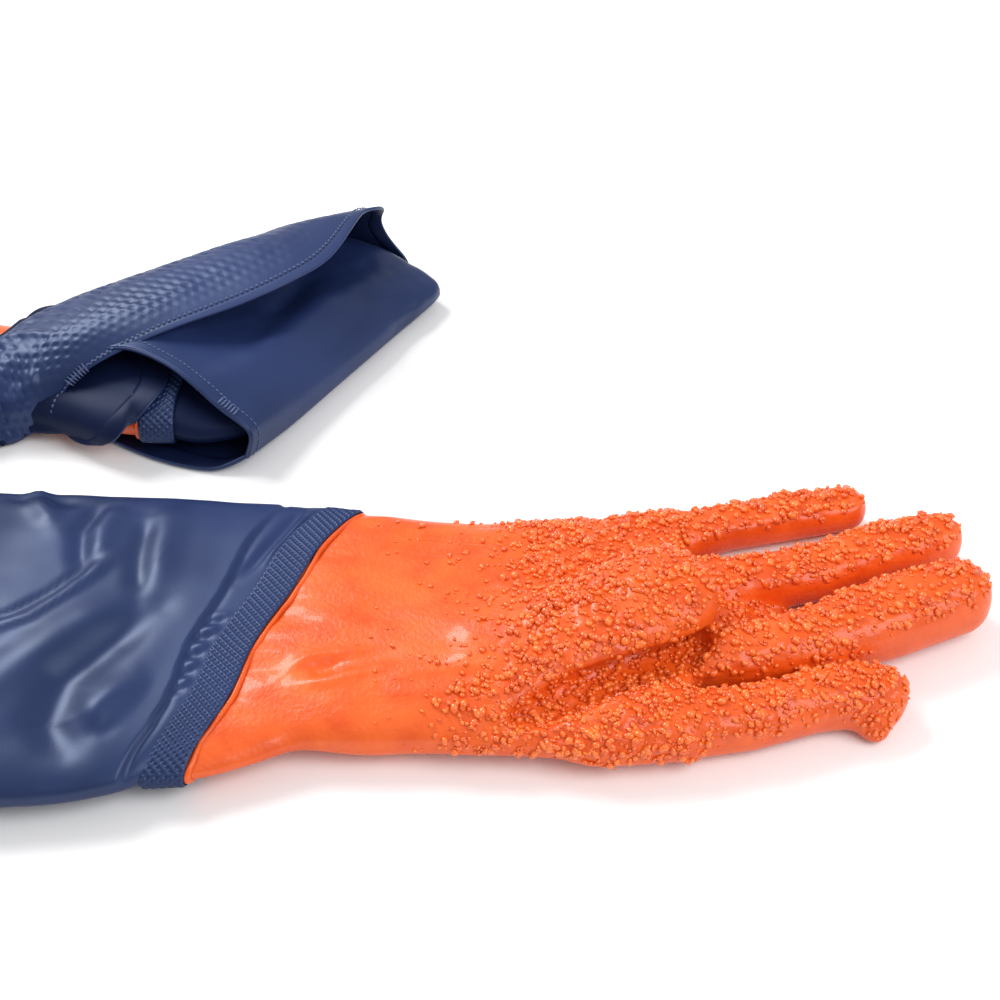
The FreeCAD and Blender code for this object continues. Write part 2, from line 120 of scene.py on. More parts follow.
def add_mesh(name, points, faces, body, material, smooth_faces=True):
    """A piece from points on the table plan in millimetres, riding on a body."""
    mesh = bpy.data.meshes.new(name)
    placed = np.asarray(points, float) * MM + TABLE
    mesh.from_pydata(placed.tolist(), [], np.asarray(faces).tolist())
    mesh.validate()
    mesh.update()
    piece = bpy.data.objects.new(name, mesh)
    bpy.context.scene.collection.objects.link(piece)
    mesh.materials.append(material)
    mesh.polygons.foreach_set("use_smooth", [smooth_faces] * len(mesh.polygons))
    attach(piece, body)
    return piece


def thicken(piece, millimetres, other_face=None):
    """Gives an open surface the thickness of its film, and its other face a material of its own, such
    as the darker navy that paints shade on a film's inner face.
    """
    solid = piece.modifiers.new("film", "SOLIDIFY")
    solid.thickness = millimetres * MM
    solid.offset = -1.0
    solid.use_rim = True
    if other_face is not None:
        piece.data.materials.append(other_face)
        solid.material_offset = 1


def surface_nets(field, low, step):
    """The surface where a field on a grid crosses zero, as points and four-sided faces."""
    inside = field < 0
    sizes = np.array(field.shape) - 1

    def corner(values, c):
        return values[c[0]:sizes[0] + c[0], c[1]:sizes[1] + c[1], c[2]:sizes[2] + c[2]]

    corners = list(np.ndindex(2, 2, 2))
    count = sum(corner(inside, c).astype(np.int8) for c in corners)
    active = (count > 0) & (count < 8)
    index = np.full(active.shape, -1)
    index[active] = np.arange(active.sum())
    total = np.zeros((active.sum(), 3))
    hits = np.zeros(active.sum())
    for a in corners:
        for axis in range(3):
            if a[axis]:
                continue
            b = tuple(a[k] + (k == axis) for k in range(3))
            fa, fb = corner(field, a)[active], corner(field, b)[active]
            crossed = (fa < 0) != (fb < 0)
            t = fa[crossed] / (fa[crossed] - fb[crossed])
            spot = np.array(a, float) + np.zeros((crossed.sum(), 3))
            spot[:, axis] += t
            total[crossed] += spot
            hits[crossed] += 1
    points = low + step * (np.argwhere(active) + total / hits[:, None])
    faces = []
    for axis in range(3):
        u, v = (axis + 1) % 3, (axis + 2) % 3
        near = [slice(0, n) for n in sizes]
        near[u] = slice(1, sizes[u])
        near[v] = slice(1, sizes[v])
        far = list(near)
        far[axis] = slice(1, sizes[axis] + 1)
        near[axis] = slice(0, sizes[axis])
        a, b = inside[tuple(near)], inside[tuple(far)]
        for flag, turn in ((a & ~b, 1), (~a & b, -1)):
            spots = np.argwhere(flag)
            spots[:, u] += 1
            spots[:, v] += 1
            ring = []
            for du, dv in ((0, 0), (1, 0), (1, 1), (0, 1))[::turn]:
                cell = spots.copy()
                cell[:, u] -= du
                cell[:, v] -= dv
                ring.append(index[cell[:, 0], cell[:, 1], cell[:, 2]])
            faces.append(np.stack(ring, axis=1))
    return points, np.concatenate(faces)


def relaxed(points, faces, rounds, share=0.5):
    """Points moved towards the middle of their neighbours, to smooth a mesh."""
    edges = np.concatenate([faces[:, [i, (i + 1) % 4]] for i in range(4)])
    a = np.concatenate([edges[:, 0], edges[:, 1]])
    b = np.concatenate([edges[:, 1], edges[:, 0]])
    uses = np.bincount(a, minlength=len(points))[:, None]
    for _ in range(rounds):
        total = np.stack([np.bincount(a, points[b, k], len(points)) for k in range(3)], axis=1)
        points = points + share * (total / np.maximum(uses, 1) - points)
    return points


def normals_of(points, faces):
    """Unit normals at the points of a mesh of four-sided faces."""
    across = points[faces[:, 2]] - points[faces[:, 0]]
    along = points[faces[:, 3]] - points[faces[:, 1]]
    flat = np.cross(across, along)
    total = np.zeros_like(points)
    for i in range(4):
        for k in range(3):
            total[:, k] += np.bincount(faces[:, i], flat[:, k], len(points))
    return total / np.maximum(np.linalg.norm(total, axis=1, keepdims=True), 1e-9)


# ---------------------------------------------------------------- materials

def new_material(name):
    """A material with its nodes, links, shader and object coordinates."""
    material = bpy.data.materials.new(name)
    material.use_nodes = True
    nodes, links = material.node_tree.nodes, material.node_tree.links
    shader = next(n for n in nodes if n.type == "BSDF_PRINCIPLED")
    return material, nodes, links, shader, nodes.new("ShaderNodeTexCoord")


def mixed_colour(nodes, links, shader, place, scale, low, high):
    """A base colour that wanders between two colours."""
    wander = nodes.new("ShaderNodeTexNoise")
    wander.inputs["Scale"].default_value = scale
    wander.inputs["Detail"].default_value = 4.0
    ramp = nodes.new("ShaderNodeValToRGB")
    for element, position, colour in zip(ramp.color_ramp.elements, (0.35, 0.65), (low, high)):
        element.position = position
        element.color = (*colour, 1.0)
    links.new(place.outputs["Object"], wander.inputs["Vector"])
    links.new(wander.outputs["Fac"], ramp.inputs["Fac"])
    links.new(ramp.outputs["Color"], shader.inputs["Base Color"])
    return wander


def wandering_roughness(nodes, links, shader, source, low, high):
    spread = nodes.new("ShaderNodeMapRange")
    limits = {"From Min": 0.3, "From Max": 0.7, "To Min": low, "To Max": high}
    for name, value in limits.items():
        spread.inputs[name].default_value = value
    links.new(source.outputs["Fac"], spread.inputs["Value"])
    links.new(spread.outputs["Result"], shader.inputs["Roughness"])


def fine_bump(nodes, links, shader, place, scale, height, strength):
    grain = nodes.new("ShaderNodeTexNoise")
    grain.inputs["Scale"].default_value = scale
    grain.inputs["Detail"].default_value = 3.0
    bump = nodes.new("ShaderNodeBump")
    bump.inputs["Strength"].default_value = strength
    bump.inputs["Distance"].default_value = height
    links.new(place.outputs["Object"], grain.inputs["Vector"])
    links.new(grain.outputs["Fac"], bump.inputs["Height"])
    links.new(bump.outputs["Normal"], shader.inputs["Normal"])


def surface(name, colour, roughness, bump, constants=None):
    """A material from its colour (scale, low, high), roughness, bump (scale, height, strength)."""
    material, nodes, links, shader, place = new_material(name)
    wander = mixed_colour(nodes, links, shader, place, *colour)
    if isinstance(roughness, tuple):
        wandering_roughness(nodes, links, shader, wander, *roughness)
    else:
        shader.inputs["Roughness"].default_value = roughness
    fine_bump(nodes, links, shader, place, *bump)
    for socket, value in (constants or {}).items():
        shader.inputs[socket].default_value = value
    return material


BLUE_SHEEN = (0.6, 0.73, 1.0, 1.0)
# Wet-looking dipped PVC, and the glossier grains set into it, of the same orange but coloured lighter
# as painted highlight on their lit tops.
ORANGE = surface("orange_pvc", (55.0, (0.70, 0.078, 0.005), (0.84, 0.122, 0.01)), (0.34, 0.48),
                 (520.0, 0.0006, 0.6),
                 {"Specular IOR Level": 0.35, "Coat Weight": 0.3, "Coat Roughness": 0.12})
GRAIN_LIT = surface("grain_pvc_lit", (160.0, (0.76, 0.095, 0.007), (0.95, 0.19, 0.018)), (0.25, 0.4),
                (700.0, 0.0003, 0.4), {"Coat Weight": 0.6, "Coat Roughness": 0.08})
# Satin vinyl film, and a darker, duller copy of it for the film's inner faces, as painted shade inside
# the tubes.
NAVY = surface("navy_film", (14.0, (0.0085, 0.0185, 0.07), (0.014, 0.028, 0.105)), (0.38, 0.46),
               (900.0, 0.0001, 0.25),
               {"Specular IOR Level": 0.55, "Specular Tint": BLUE_SHEEN})
NAVY_PAINTED_SHADE = surface("navy_painted_shade", (30.0, (0.0035, 0.007, 0.03), (0.005, 0.010, 0.042)),
                      (0.45, 0.55), (900.0, 0.0001, 0.2),
                      {"Specular IOR Level": 0.2, "Specular Tint": BLUE_SHEEN})
# Sewing thread, lighter than the film, and the off-white looped lining.
THREAD = surface("navy_thread", (900.0, (0.045, 0.07, 0.18), (0.09, 0.13, 0.27)), 0.6,
                 (3000.0, 0.0002, 0.5))
KNIT = surface("knit", (600.0, (0.62, 0.6, 0.53), (0.8, 0.78, 0.72)), 0.9,
               (1400.0, 0.0006, 0.7))


# ---------------------------------------------------------------- the hand

class Chain:
    """A rounded finger of film along joined points, each (x, y, z, half width, half height)."""

    def __init__(self, *points, squareness=2.5):
        self.points = np.array(points, float)
        self.squareness = squareness

    def field(self, x, y, z):
        result = np.full(x.shape, 1e3)
        p = self.squareness
        for a, b in zip(self.points[:-1], self.points[1:]):
            d = b[:3] - a[:3]
            t = ((x - a[0]) * d[0] + (y - a[1]) * d[1] + (z - a[2]) * d[2]) / (d @ d)
            t = np.clip(t, 0.0, 1.0)
            wide, high = a[3] + t * (b[3] - a[3]), a[4] + t * (b[4] - a[4])
            flat = np.hypot(x - a[0] - t * d[0], y - a[1] - t * d[1])
            tall = np.abs(z - a[2] - t * d[2])
            norm = ((flat / wide) ** p + (tall / high) ** p) ** (1.0 / p)
            result = np.minimum(result, (norm - 1.0) * np.minimum(wide, high))
        return result


PALM_END = 168.0
# Where the grains of the palm stop and those of the fingers start.
FINGER_START = 175.0
# The roundness of the cuff's flattened section: 2 is an ellipse, more is squarer.
CUFF_SQUARENESS = 2.6
SLEEVE_SQUARENESS = 2.5
# Film gauges, and the lowest a film or a hand's face may lie above the table.
SLEEVE_WALL, INNER_WALL, STRIP_WALL = 0.7, 0.6, 0.3
BAND_WALL, BEAD_WALL = 0.5, 0.4
HAND_WALL, LINING_WALL = 1.3, 0.9
HAND_FLOOR, LINING_FLOOR = 0.1, 1.6
FRONT_FLOOR, BACK_FLOOR, DRAPE_FLOOR = 1.25, 1.3, 0.9


class HandShape:
    """A hand in its own plan: x from the weld to the fingers, thumb side at negative y."""

    def __init__(self, far_edge, near_edge, half_height, base, digits, thumb, hollow, slant,
                 weld_at, weld_flare=0.0):
        self.far_edge, self.near_edge, self.half_height = far_edge, near_edge, half_height
        self.base, self.digits, self.thumb, self.hollow = base, digits, thumb, hollow
        self.slant, self.weld_at, self.weld_flare = slant, weld_at, weld_flare

    def weld(self, y):
        """Where the weld between hand and sleeve crosses y."""
        flare = self.weld_flare * smooth(y, 10.0, 75.0)
        return self.weld_at + self.slant * y + flare + 1.2 * np.sin(y / 9.0)

    def reach(self):
        """Just past the longest fingertip."""
        return max(p[0] + p[3] for digit, _ in self.digits for p in digit.points) + 6.0

    def palm_section(self, x):
        """Middle, half width, half height and base of the palm and gauntlet at x."""
        far, near = curve(x, self.far_edge), curve(x, self.near_edge)
        return (far + near) / 2, (far - near) / 2, curve(x, self.half_height), curve(x, self.base)

    def palm(self, x, y, z):
        middle, wide, high, base = self.palm_section(x)
        tall = np.abs((z - base - high) / high)
        p = CUFF_SQUARENESS
        norm = (np.abs((y - middle) / wide) ** p + tall ** p) ** (1 / p)
        return np.maximum((norm - 1.0) * high, x - PALM_END)

    def field(self, x, y, z):
        result = self.palm(x, y, z)
        for digit, web in self.digits:
            result = blend_min(result, digit.field(x, y, z), web)
        if self.thumb is not None:
            snug = 11.0 - 8.5 * smooth(x, 92.0, 128.0)
            result = blend_min(result, self.thumb.field(x, y, z), snug)
        if self.hollow is not None:
            result = -blend_min(-result, self.hollow.field(x, y, z), 3.0)
        return result

    def mesh(self, low, high, step, inset=0.0, rounds=3):
        axes = [np.arange(a, b + step, step) for a, b in zip(low, high)]
        x, y, z = np.meshgrid(*axes, indexing="ij")
        points, faces = surface_nets(self.field(x, y, z) + inset, np.array(low), step)
        return relaxed(points, faces, rounds), faces


def front_hand_shape():
    far = [(-44, 74), (-20, 73), (0, 71), (20, 67), (42, 64), (83, 62), (120, 63), (161, 64),
           (188, 61)]
    near = [(-44, -75), (-24, -74), (-8, -69), (14, -60), (53, -55), (83, -60), (113, -63),
            (131, -65), (158, -62), (188, -56)]
    half = [(-44, 9), (0, 10), (30, 11.5), (80, 12.5), (150, 12.5), (188, 10.5)]
    base = [(-44, 3.2), (10, 3.2), (50, 0.8), (80, 0.0), (188, 0.0)]
    little = Chain((150, 50, 11, 14, 10), (190, 64, 10, 9.5, 9), (222, 72, 9.5, 10, 8.8),
                   (243, 77, 9, 9.5, 8.5))
    ring = Chain((150, 21, 12, 17, 11.5), (194, 28, 12, 11.5, 10.5), (225, 35, 12, 12, 10.5),
                 (257, 49, 12, 12, 10.5), (279, 55, 11.5, 11.5, 10.5))
    middle = Chain((150, -13, 13, 16, 12), (190, -15, 13.5, 12, 12.5), (220, -7, 14.5, 14, 13.5),
                   (251, 6, 15, 16.5, 14), (281, 18, 15, 15, 14))
    index = Chain((132, -44, 12, 19, 12), (166, -48, 12, 13, 11.5), (190, -45, 12, 11.5, 11.5),
                  (217, -36, 12, 11.5, 11.5), (234, -32, 11.5, 13, 11), (243, -31, 11, 11, 10.5))
    drip = Chain((243, -33, 9, 9, 7), (241, -44, 4.5, 5.5, 4))
    thumb = Chain((42, -26, 11, 24, 11), (92, -22, 19, 24, 12.5), (158, 4, 30, 22.5, 12.5))
    gap = Chain((101, -52, 22, 5, 4), (120, -42, 22, 9, 5.5), (166, -15, 22, 11, 5.5))
    fold = Chain((170, 2, 10, 13, 9), (186, 6, 11, 8, 8), (204, 12, 5, 10, 4))
    digits = [(little, 4), (ring, 4), (middle, 4), (index, 4), (fold, 4), (drip, 6)]
    return HandShape(far, near, half, base, digits, thumb, gap, 0.38, 1.0, 6.0)


# ---------------------------------------------------------------- lines, lofts and strips

def spline(points, places, closed=False):
    """A smooth line through points, read at places counted in points along it."""
    n = len(points)
    i = np.floor(places).astype(int)
    if not closed:
        i = np.clip(i, 0, n - 2)
    t = (places - i).reshape((-1,) + (1,) * (points.ndim - 1))

    def take(k):
        return points[k % n] if closed else points[np.clip(k, 0, n - 1)]

    a, b, c, d = take(i - 1), take(i), take(i + 1), take(i + 2)
    return b + 0.5 * t * (c - a + t * (2 * a - 5 * b + 4 * c - d + t * (3 * (b - c) + d - a)))


def even_places(points, count, closed=False):
    """Count places that share the line's length out evenly."""
    n = len(points) if closed else len(points) - 1
    dense = np.linspace(0, n, 12 * n + 1)
    step = np.linalg.norm(np.diff(spline(points, dense, closed), axis=0), axis=-1)
    if step.ndim > 1:
        step = step.mean(axis=tuple(range(1, step.ndim)))
    run = np.concatenate([[0.0], np.cumsum(step)])
    return np.interp(np.linspace(0, run[-1], count + closed)[:count], run, dense)


def even_line(points, count):
    points = np.array(points, float)
    return spline(points, even_places(points, count))


def squarish(angle, power):
    """Across and up round a circle at angle, pressed towards a square as power falls below 1."""
    c, s = np.cos(angle), np.sin(angle)
    return np.sign(c) * np.abs(c) ** power, np.sign(s) * np.abs(s) ** power


def ring_of(top, under):
    """A ring as two lines: over the top, and back under from its end to its start."""
    return top, [top[-1], *under, top[0]]


def loft(stations, rows, top_count, bottom_count):
    """A tube through stations, each a line over the top and a line back under the bottom."""
    rings = np.array([np.concatenate([even_line(top, top_count + 1)[:-1],
                                      even_line(bottom, bottom_count + 1)[:-1]])
                      for top, bottom in stations])
    return spline(rings, even_places(rings, rows))


def tube_faces(rows, columns, closed=True):
    r, c = np.meshgrid(np.arange(rows - 1), np.arange(columns if closed else columns - 1),
                       indexing="ij")
    nxt = (c + 1) % columns
    quads = np.stack([r * columns + c, r * columns + nxt, (r + 1) * columns + nxt,
                      (r + 1) * columns + c], axis=-1)
    return quads.reshape(-1, 4)


def grid_normals(grid, closed=True):
    """Unit normals of a grid of points, out of the tube at its first row."""
    down = np.gradient(grid, axis=0)
    if closed:
        across = np.roll(grid, -1, axis=1) - np.roll(grid, 1, axis=1)
    else:
        across = np.gradient(grid, axis=1)
    flat = np.cross(across, down)
    flat /= np.maximum(np.linalg.norm(flat, axis=-1, keepdims=True), 1e-9)
    if closed:
        away = (flat[2] * (grid[2] - grid[2].mean(axis=0))).sum()
        flat *= math.copysign(1.0, away)
    return flat


def grid_faces(grid, normals, closed=True):
    """Four-sided faces over a grid, turned to look the way its normals do."""
    faces = tube_faces(*grid.shape[:2], closed=closed)
    points = grid.reshape(-1, 3)
    flat = np.cross(points[faces[:, 2]] - points[faces[:, 0]],
                    points[faces[:, 3]] - points[faces[:, 1]])
    agree = (flat * normals.reshape(-1, 3)[faces[:, 0]]).sum()
    return faces if agree > 0 else faces[:, ::-1]


def lengths(grid):
    """How far each point of a grid is from its first row, along the film."""
    step = np.linalg.norm(np.diff(grid, axis=0), axis=-1)
    return np.concatenate([np.zeros((1, grid.shape[1])), np.cumsum(step, axis=0)])


def girths(grid):
    """How far each point of a grid is from its first column, round the film."""
    return lengths(grid.transpose(1, 0, 2)).T


def film(name, grid, thickness, body, faces_of=None):
    """A tube of film from a grid of points, given the thickness of its film."""
    faces = grid_faces(grid, grid_normals(grid))
    # By default the other face takes the darker navy, painted shade for the inside of the tube.
    near_face, other_face = faces_of or (NAVY, NAVY_PAINTED_SHADE)
    piece = add_mesh(name, grid.reshape(-1, 3), faces, body, near_face)
    thicken(piece, thickness, other_face)
    girth = girths(grid)[:, -1].mean() * (1 + 1 / grid.shape[1])
    return piece


def ridge(x, y, line, width, height):
    """A soft ridge along a line of plan points, or a valley below zero, fading at its ends."""
    line = np.array(line, float)
    step = np.linalg.norm(np.diff(line, axis=0), axis=1)
    run, total = np.concatenate([[0.0], np.cumsum(step)]), step.sum()
    best, share = np.full(np.shape(x), 1e9), np.zeros(np.shape(x))
    for a, b, start, long in zip(line[:-1], line[1:], run, step):
        t = np.clip(((x - a[0]) * (b[0] - a[0]) + (y - a[1]) * (b[1] - a[1])) / long**2, 0, 1)
        gap = np.hypot(x - a[0] - t * (b[0] - a[0]), y - a[1] - t * (b[1] - a[1]))
        share = np.where(gap < best, (start + t * long) / total, share)
        best = np.minimum(best, gap)
    fade = smooth(share, 0.0, 0.25) * (1 - smooth(share, 0.75, 1.0))
    return height * np.exp(-((best / width) ** 2)) * (0.25 + 0.75 * fade)


def lump(radii, seed, levels=1):
    """The points and faces of one rough grain."""
    mesh = bpy.data.meshes.new("lump")
    shape = bmesh.new()
    bmesh.ops.create_icosphere(shape, subdivisions=levels, radius=1.0)
    shape.to_mesh(mesh)
    shape.free()
    points = np.array([v.co[:] for v in mesh.vertices])
    faces = np.array([p.vertices[:] for p in mesh.polygons])
    bpy.data.meshes.remove(mesh)
    rough = np.random.default_rng(seed).uniform(0.66, 1.28, (len(points), 1))
    return points * rough * radii, faces


def scatter(shapes, places, frames, scales, picks):
    """Many copies of a few shapes, each set at a place in its own frame and scale."""
    points, faces, start = [], [], 0
    for k, (shape_points, shape_faces) in enumerate(shapes):
        chosen = picks == k
        count = chosen.sum()
        copies = np.einsum("nij,vj->nvi", frames[chosen], shape_points)
        copies = copies * scales[chosen][:, None, None] + places[chosen][:, None, :]
        points.append(copies.reshape(-1, 3))
        offsets = start + np.arange(count) * len(shape_points)
        faces.append((shape_faces[None] + offsets[:, None, None]).reshape(-1, 3))
        start += count * len(shape_points)
    return np.concatenate(points), np.concatenate(faces)


def frames_on(normals, along):
    """Frames whose third axis is the normal and whose first follows along."""
    side = np.cross(normals, along)
    side /= np.maximum(np.linalg.norm(side, axis=1, keepdims=True), 1e-9)
    return np.stack([np.cross(side, normals), side, normals], axis=2)


def stitch_row(name, line, normals, pitch, length, body, across=False, radius=0.42):
    """Thread stitches lying on a line of points, end to end or side by side."""
    run = np.concatenate([[0.0], np.cumsum(np.linalg.norm(np.diff(line, axis=0), axis=1))])
    places = np.arange(pitch / 2, run[-1], pitch)
    spot = np.stack([np.interp(places, run, line[:, k]) for k in range(3)], axis=1)
    out = np.stack([np.interp(places, run, normals[:, k]) for k in range(3)], axis=1)
    ahead = np.stack([np.interp(places + 0.5, run, line[:, k]) for k in range(3)], axis=1) - spot
    if across:
        ahead = np.cross(out, ahead)
    shape = lump((length / 2, radius, radius), 5, 2)
    points, faces = scatter([shape], spot + out * radius * 0.45, frames_on(out, ahead),
                            np.ones(len(spot)), np.zeros(len(spot), int))
    return add_mesh(name, points, faces, body, THREAD)


def hem_strip(name, grid, normals, width, rise, body, wall):
    """The folded edge of a tube: a doubled strip that wraps the last row of the grid."""
    reach = lengths(grid[::-1])
    count = int(np.argmax(reach.mean(axis=1) > width))
    rows = grid[::-1][:count][::-1]
    out = normals[::-1][:count][::-1]
    ahead = rows[-1] - rows[-3]
    ahead /= np.linalg.norm(ahead, axis=-1, keepdims=True)
    lift = rise * np.minimum(1.0, np.arange(count) / 2.0)[:, None, None]
    outer = rows + out * lift
    inner = (rows - out * (wall + lift))[::-1]
    rounds = [rows[-1] + ahead * rise * math.sin(a) * 1.4
              + out[-1] * ((rise + wall / 2) * math.cos(a) - wall / 2)
              for a in np.linspace(0.25, math.pi - 0.25, 5)]
    strip = np.concatenate([outer, np.array(rounds), inner])
    faces = tube_faces(*strip.shape[:2])
    points = strip.reshape(-1, 3)
    flat = np.cross(points[faces[0, 2]] - points[faces[0, 0]],
                    points[faces[0, 3]] - points[faces[0, 1]])
    if (flat * out[0, 0]).sum() < 0:
        faces = faces[:, ::-1]
    piece = add_mesh(name, points, faces, body, NAVY)
    # The turned-in half of the hem takes the darker navy, painted shade inside the mouth.
    piece.data.materials.append(NAVY_PAINTED_SHADE)
    turned_in = np.arange(len(faces)) // strip.shape[1] > count + 3
    piece.data.polygons.foreach_set("material_index", turned_in.astype(int))
    thicken(piece, STRIP_WALL)
    return piece


def looped(line):
    return np.concatenate([line, line[:1]])


def row_at(grid, distance):
    """The row of a tube that lies so far from its mouth."""
    return len(grid) - 1 - int(np.argmax(lengths(grid[::-1]).mean(axis=1) > distance))


def finish_mouth(tube, thread_name, grid, out, body, wall, width, rise, sewn_at, pitch, stitch,
                 proud=0.0):
    """The folded hem at a tube's mouth, and the stitching that holds it down."""
    hem = hem_strip(f"{tube}_hem", grid, out, width, rise, body, wall)
    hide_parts(f"{tube}_sleeve_hem")
    row = row_at(grid, sewn_at)
    line = looped(grid[row] + out[row] * proud)
    thread = stitch_row(thread_name, line, looped(out[row]), pitch, stitch, body)
    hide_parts(f"{tube}_hem_stitches")


def dimples(grid, pitch, depth, seed):
    """Rows of small oval pits, uneven like pressed film, measured along and round a tube."""
    down, around = lengths(grid), girths(grid)
    sway = fractal(grid, 40.0, seed) * 1.6
    a = np.sin((down + sway) * 2 * math.pi / pitch)
    b = np.sin((around + sway + down * 0.22) * 2 * math.pi / (pitch * 1.35))
    uneven = 0.75 + 0.45 * noise(grid, 9.0, seed + 7)
    return -depth * uneven * np.clip(a * 0.6 + b * 0.6 + 0.1, 0.0, None) ** 1.2


# ---------------------------------------------------------------- hands

def back_hand_shape():
    far = [(-30, 6), (0, 6), (30, 13), (60, 18), (82, 22), (105, 42), (130, 58), (161, 62),
           (188, 60)]
    near = [(-30, -54), (0, -54), (16, -50), (32, -42), (50, -36), (72, -36), (90, -42),
            (108, -52), (130, -60), (158, -62), (188, -57)]
    half = [(-30, 9.6), (0, 9.6), (40, 10.5), (80, 11.6), (150, 11.6), (188, 10.5)]
    base = [(-30, 5.0), (0, 5.0), (45, 1.5), (80, 0.2), (188, 0.2)]
    little = Chain((150, 48, 11, 15, 10.5), (178, 54, 10, 13.5, 10), (216, 60, 10, 13, 9.5),
                   (242, 65, 9.5, 12.5, 9))
    ring = Chain((150, 19, 11, 16, 11), (193, 26, 11, 15, 10.5), (246, 38, 10.5, 14.5, 10.5),
                 (278, 45, 10.5, 14, 10))
    middle = Chain((150, -13, 11, 17, 11), (189, -8, 11, 16, 11), (257, 2, 11, 15, 10.5),
                   (284, 7, 10.5, 14, 10))
    index = Chain((132, -42, 11, 19, 11), (175, -42, 11, 16, 11), (221, -37, 10.5, 14.5, 10.5),
                  (242, -35, 10, 13.5, 10))
    thumb = Chain((112, -38, 11, 17, 11), (136, -52, 11, 16.5, 11), (168, -68, 11, 15.5, 10.5))
    digits = [(little, 9), (ring, 9), (middle, 9), (index, 9)]
    return HandShape(far, near, half, base, digits, thumb, None, -0.15, -9.0)


FRONT, BACK = front_hand_shape(), back_hand_shape()


def front_place(points):
    return points + WRIST


def back_place(points):
    return points * (-1.0, 1.0, 1.0) + BACK_HAND


def bumpiness(points, normals):
    """How thickly the grains lie at points of a hand, from 0 to 1."""
    x, y, z = points.T
    patch = 0.5 + 0.3 * fractal(points, 22.0, 31) + 0.45 * noise(points, 6.5, 35)
    near_side = smooth(-y, 15.0, 50.0)
    start = 98.0 - 28.0 * near_side
    dense = smooth(x, start - 14.0, start + 16.0)
    sparse = 0.05 * smooth(x, 25.0, 45.0) + 0.12 * smooth(x, 55.0, 90.0)
    finger_side = np.where(y < -14, smooth(normals[:, 2], -0.1, 0.4), smooth(normals[:, 2], 0.3, 0.75))
    palm_side = np.where(x < 172, smooth(normals[:, 2], -0.55, 0.05), finger_side)
    low_ok = smooth(z, 3.0, 7.0)
    return np.clip(dense * (0.35 + 0.75 * patch) + sparse, 0, 1) * palm_side * low_ok


def wrinkled(points, normals, shape):
    """Soft folds in the moulded gauntlet, and a coarse skin where the grains are set in."""
    x, y = points[:, 0], points[:, 1]
    top = smooth(normals[:, 2], 0.1, 0.5)
    near_cuff = 1.0 - smooth(x, 60.0, 110.0)
    shift = fractal(points * (0.6, 1.4, 1.0), 26.0, 11) * (0.3 + 0.8 * near_cuff)
    if shape is FRONT:
        shift += ridge(x, y, [(34, 52), (60, 46), (90, 43), (120, 42)], 2.0, -1.6)
        shift += ridge(x, y, [(46, 39), (66, 36), (92, 36)], 1.8, -1.1)
        shift += ridge(x, y, [(16, -30), (22, -29), (29, -27)], 3.6, -2.1)
        shift += ridge(x, y, [(4, -32), (16, -23), (30, -21), (44, -20)], 2.6, 1.1)
        shift += ridge(x, y, [(10, -37), (24, -36), (40, -32), (54, -28)], 2.8, 1.0)
        shift += ridge(x, y, [(48, -38), (72, -36), (96, -38)], 3.0, -0.9)
    grainy = bumpiness(points, normals) * smooth(x, 60.0, 95.0)
    coarse = (1.5 * np.abs(fractal(points, 5.2, 51, 2)) - 0.3) * grainy
    return points + normals * (shift * top + coarse)[:, None]


def open_at_cuff(points, faces, shape, behind):
    """Leaves out what lies behind the cuff's open end, so far behind the weld."""
    keep = (points[:, 0] > shape.weld(points[:, 1]) - behind)[faces].all(axis=1)
    used, renumbered = np.unique(faces[keep], return_inverse=True)
    return points[used], renumbered.reshape(-1, 4)


def hand_surface(shape, step, inset, rounds, behind):
    low = (shape.weld_at - 85.0 * abs(shape.slant) - behind, -96.0, -3.0)
    high = (shape.reach(), 96.0, 56.0)
    points, faces = shape.mesh(low, high, step, inset, rounds)
    return open_at_cuff(points, faces, shape, behind)


def grains(name, points, faces, body, place, per_area, seed, zone):
    """Rough grains of PVC, half sunk in the face of the hand."""
    rng = np.random.default_rng(seed)
    quads = points[faces]
    middle = quads.mean(axis=1)
    across = np.cross(quads[:, 2] - quads[:, 0], quads[:, 3] - quads[:, 1])
    area = np.linalg.norm(across, axis=1) / 2
    out = across / np.maximum(2 * area, 1e-9)[:, None]
    expected = area * per_area * bumpiness(middle, out) * zone(middle)
    chosen = np.flatnonzero(rng.random(len(area)) < expected)
    corner = rng.random((len(chosen), 2, 1))
    picked = quads[chosen]
    spot = ((picked[:, 0] * (1 - corner[:, 0]) + picked[:, 1] * corner[:, 0]) * (1 - corner[:, 1])
            + (picked[:, 3] * (1 - corner[:, 0]) + picked[:, 2] * corner[:, 0]) * corner[:, 1])
    up = out[chosen]
    scale = rng.gamma(6.0, 0.2, len(chosen)).clip(0.6, 2.2)
    lone = bumpiness(spot, up) < 0.3
    scale = np.where(lone, scale * 0.72, scale)
    tilt = up + rng.normal(0, 0.28, up.shape)
    tilt /= np.linalg.norm(tilt, axis=1, keepdims=True)
    turn = rng.normal(0, 1, up.shape)
    shapes = [lump((1.05, 0.7 + 0.06 * k, 0.82), 60 + k) for k in range(6)]
    copies, copy_faces = scatter(shapes, spot + up * (scale * 0.22)[:, None],
                                 frames_on(tilt, turn), scale, rng.integers(0, 6, len(chosen)))
    # The grains' lighter orange is painted highlight for their lit tops.
    return add_mesh(name, place(copies), copy_faces, body, GRAIN_LIT)


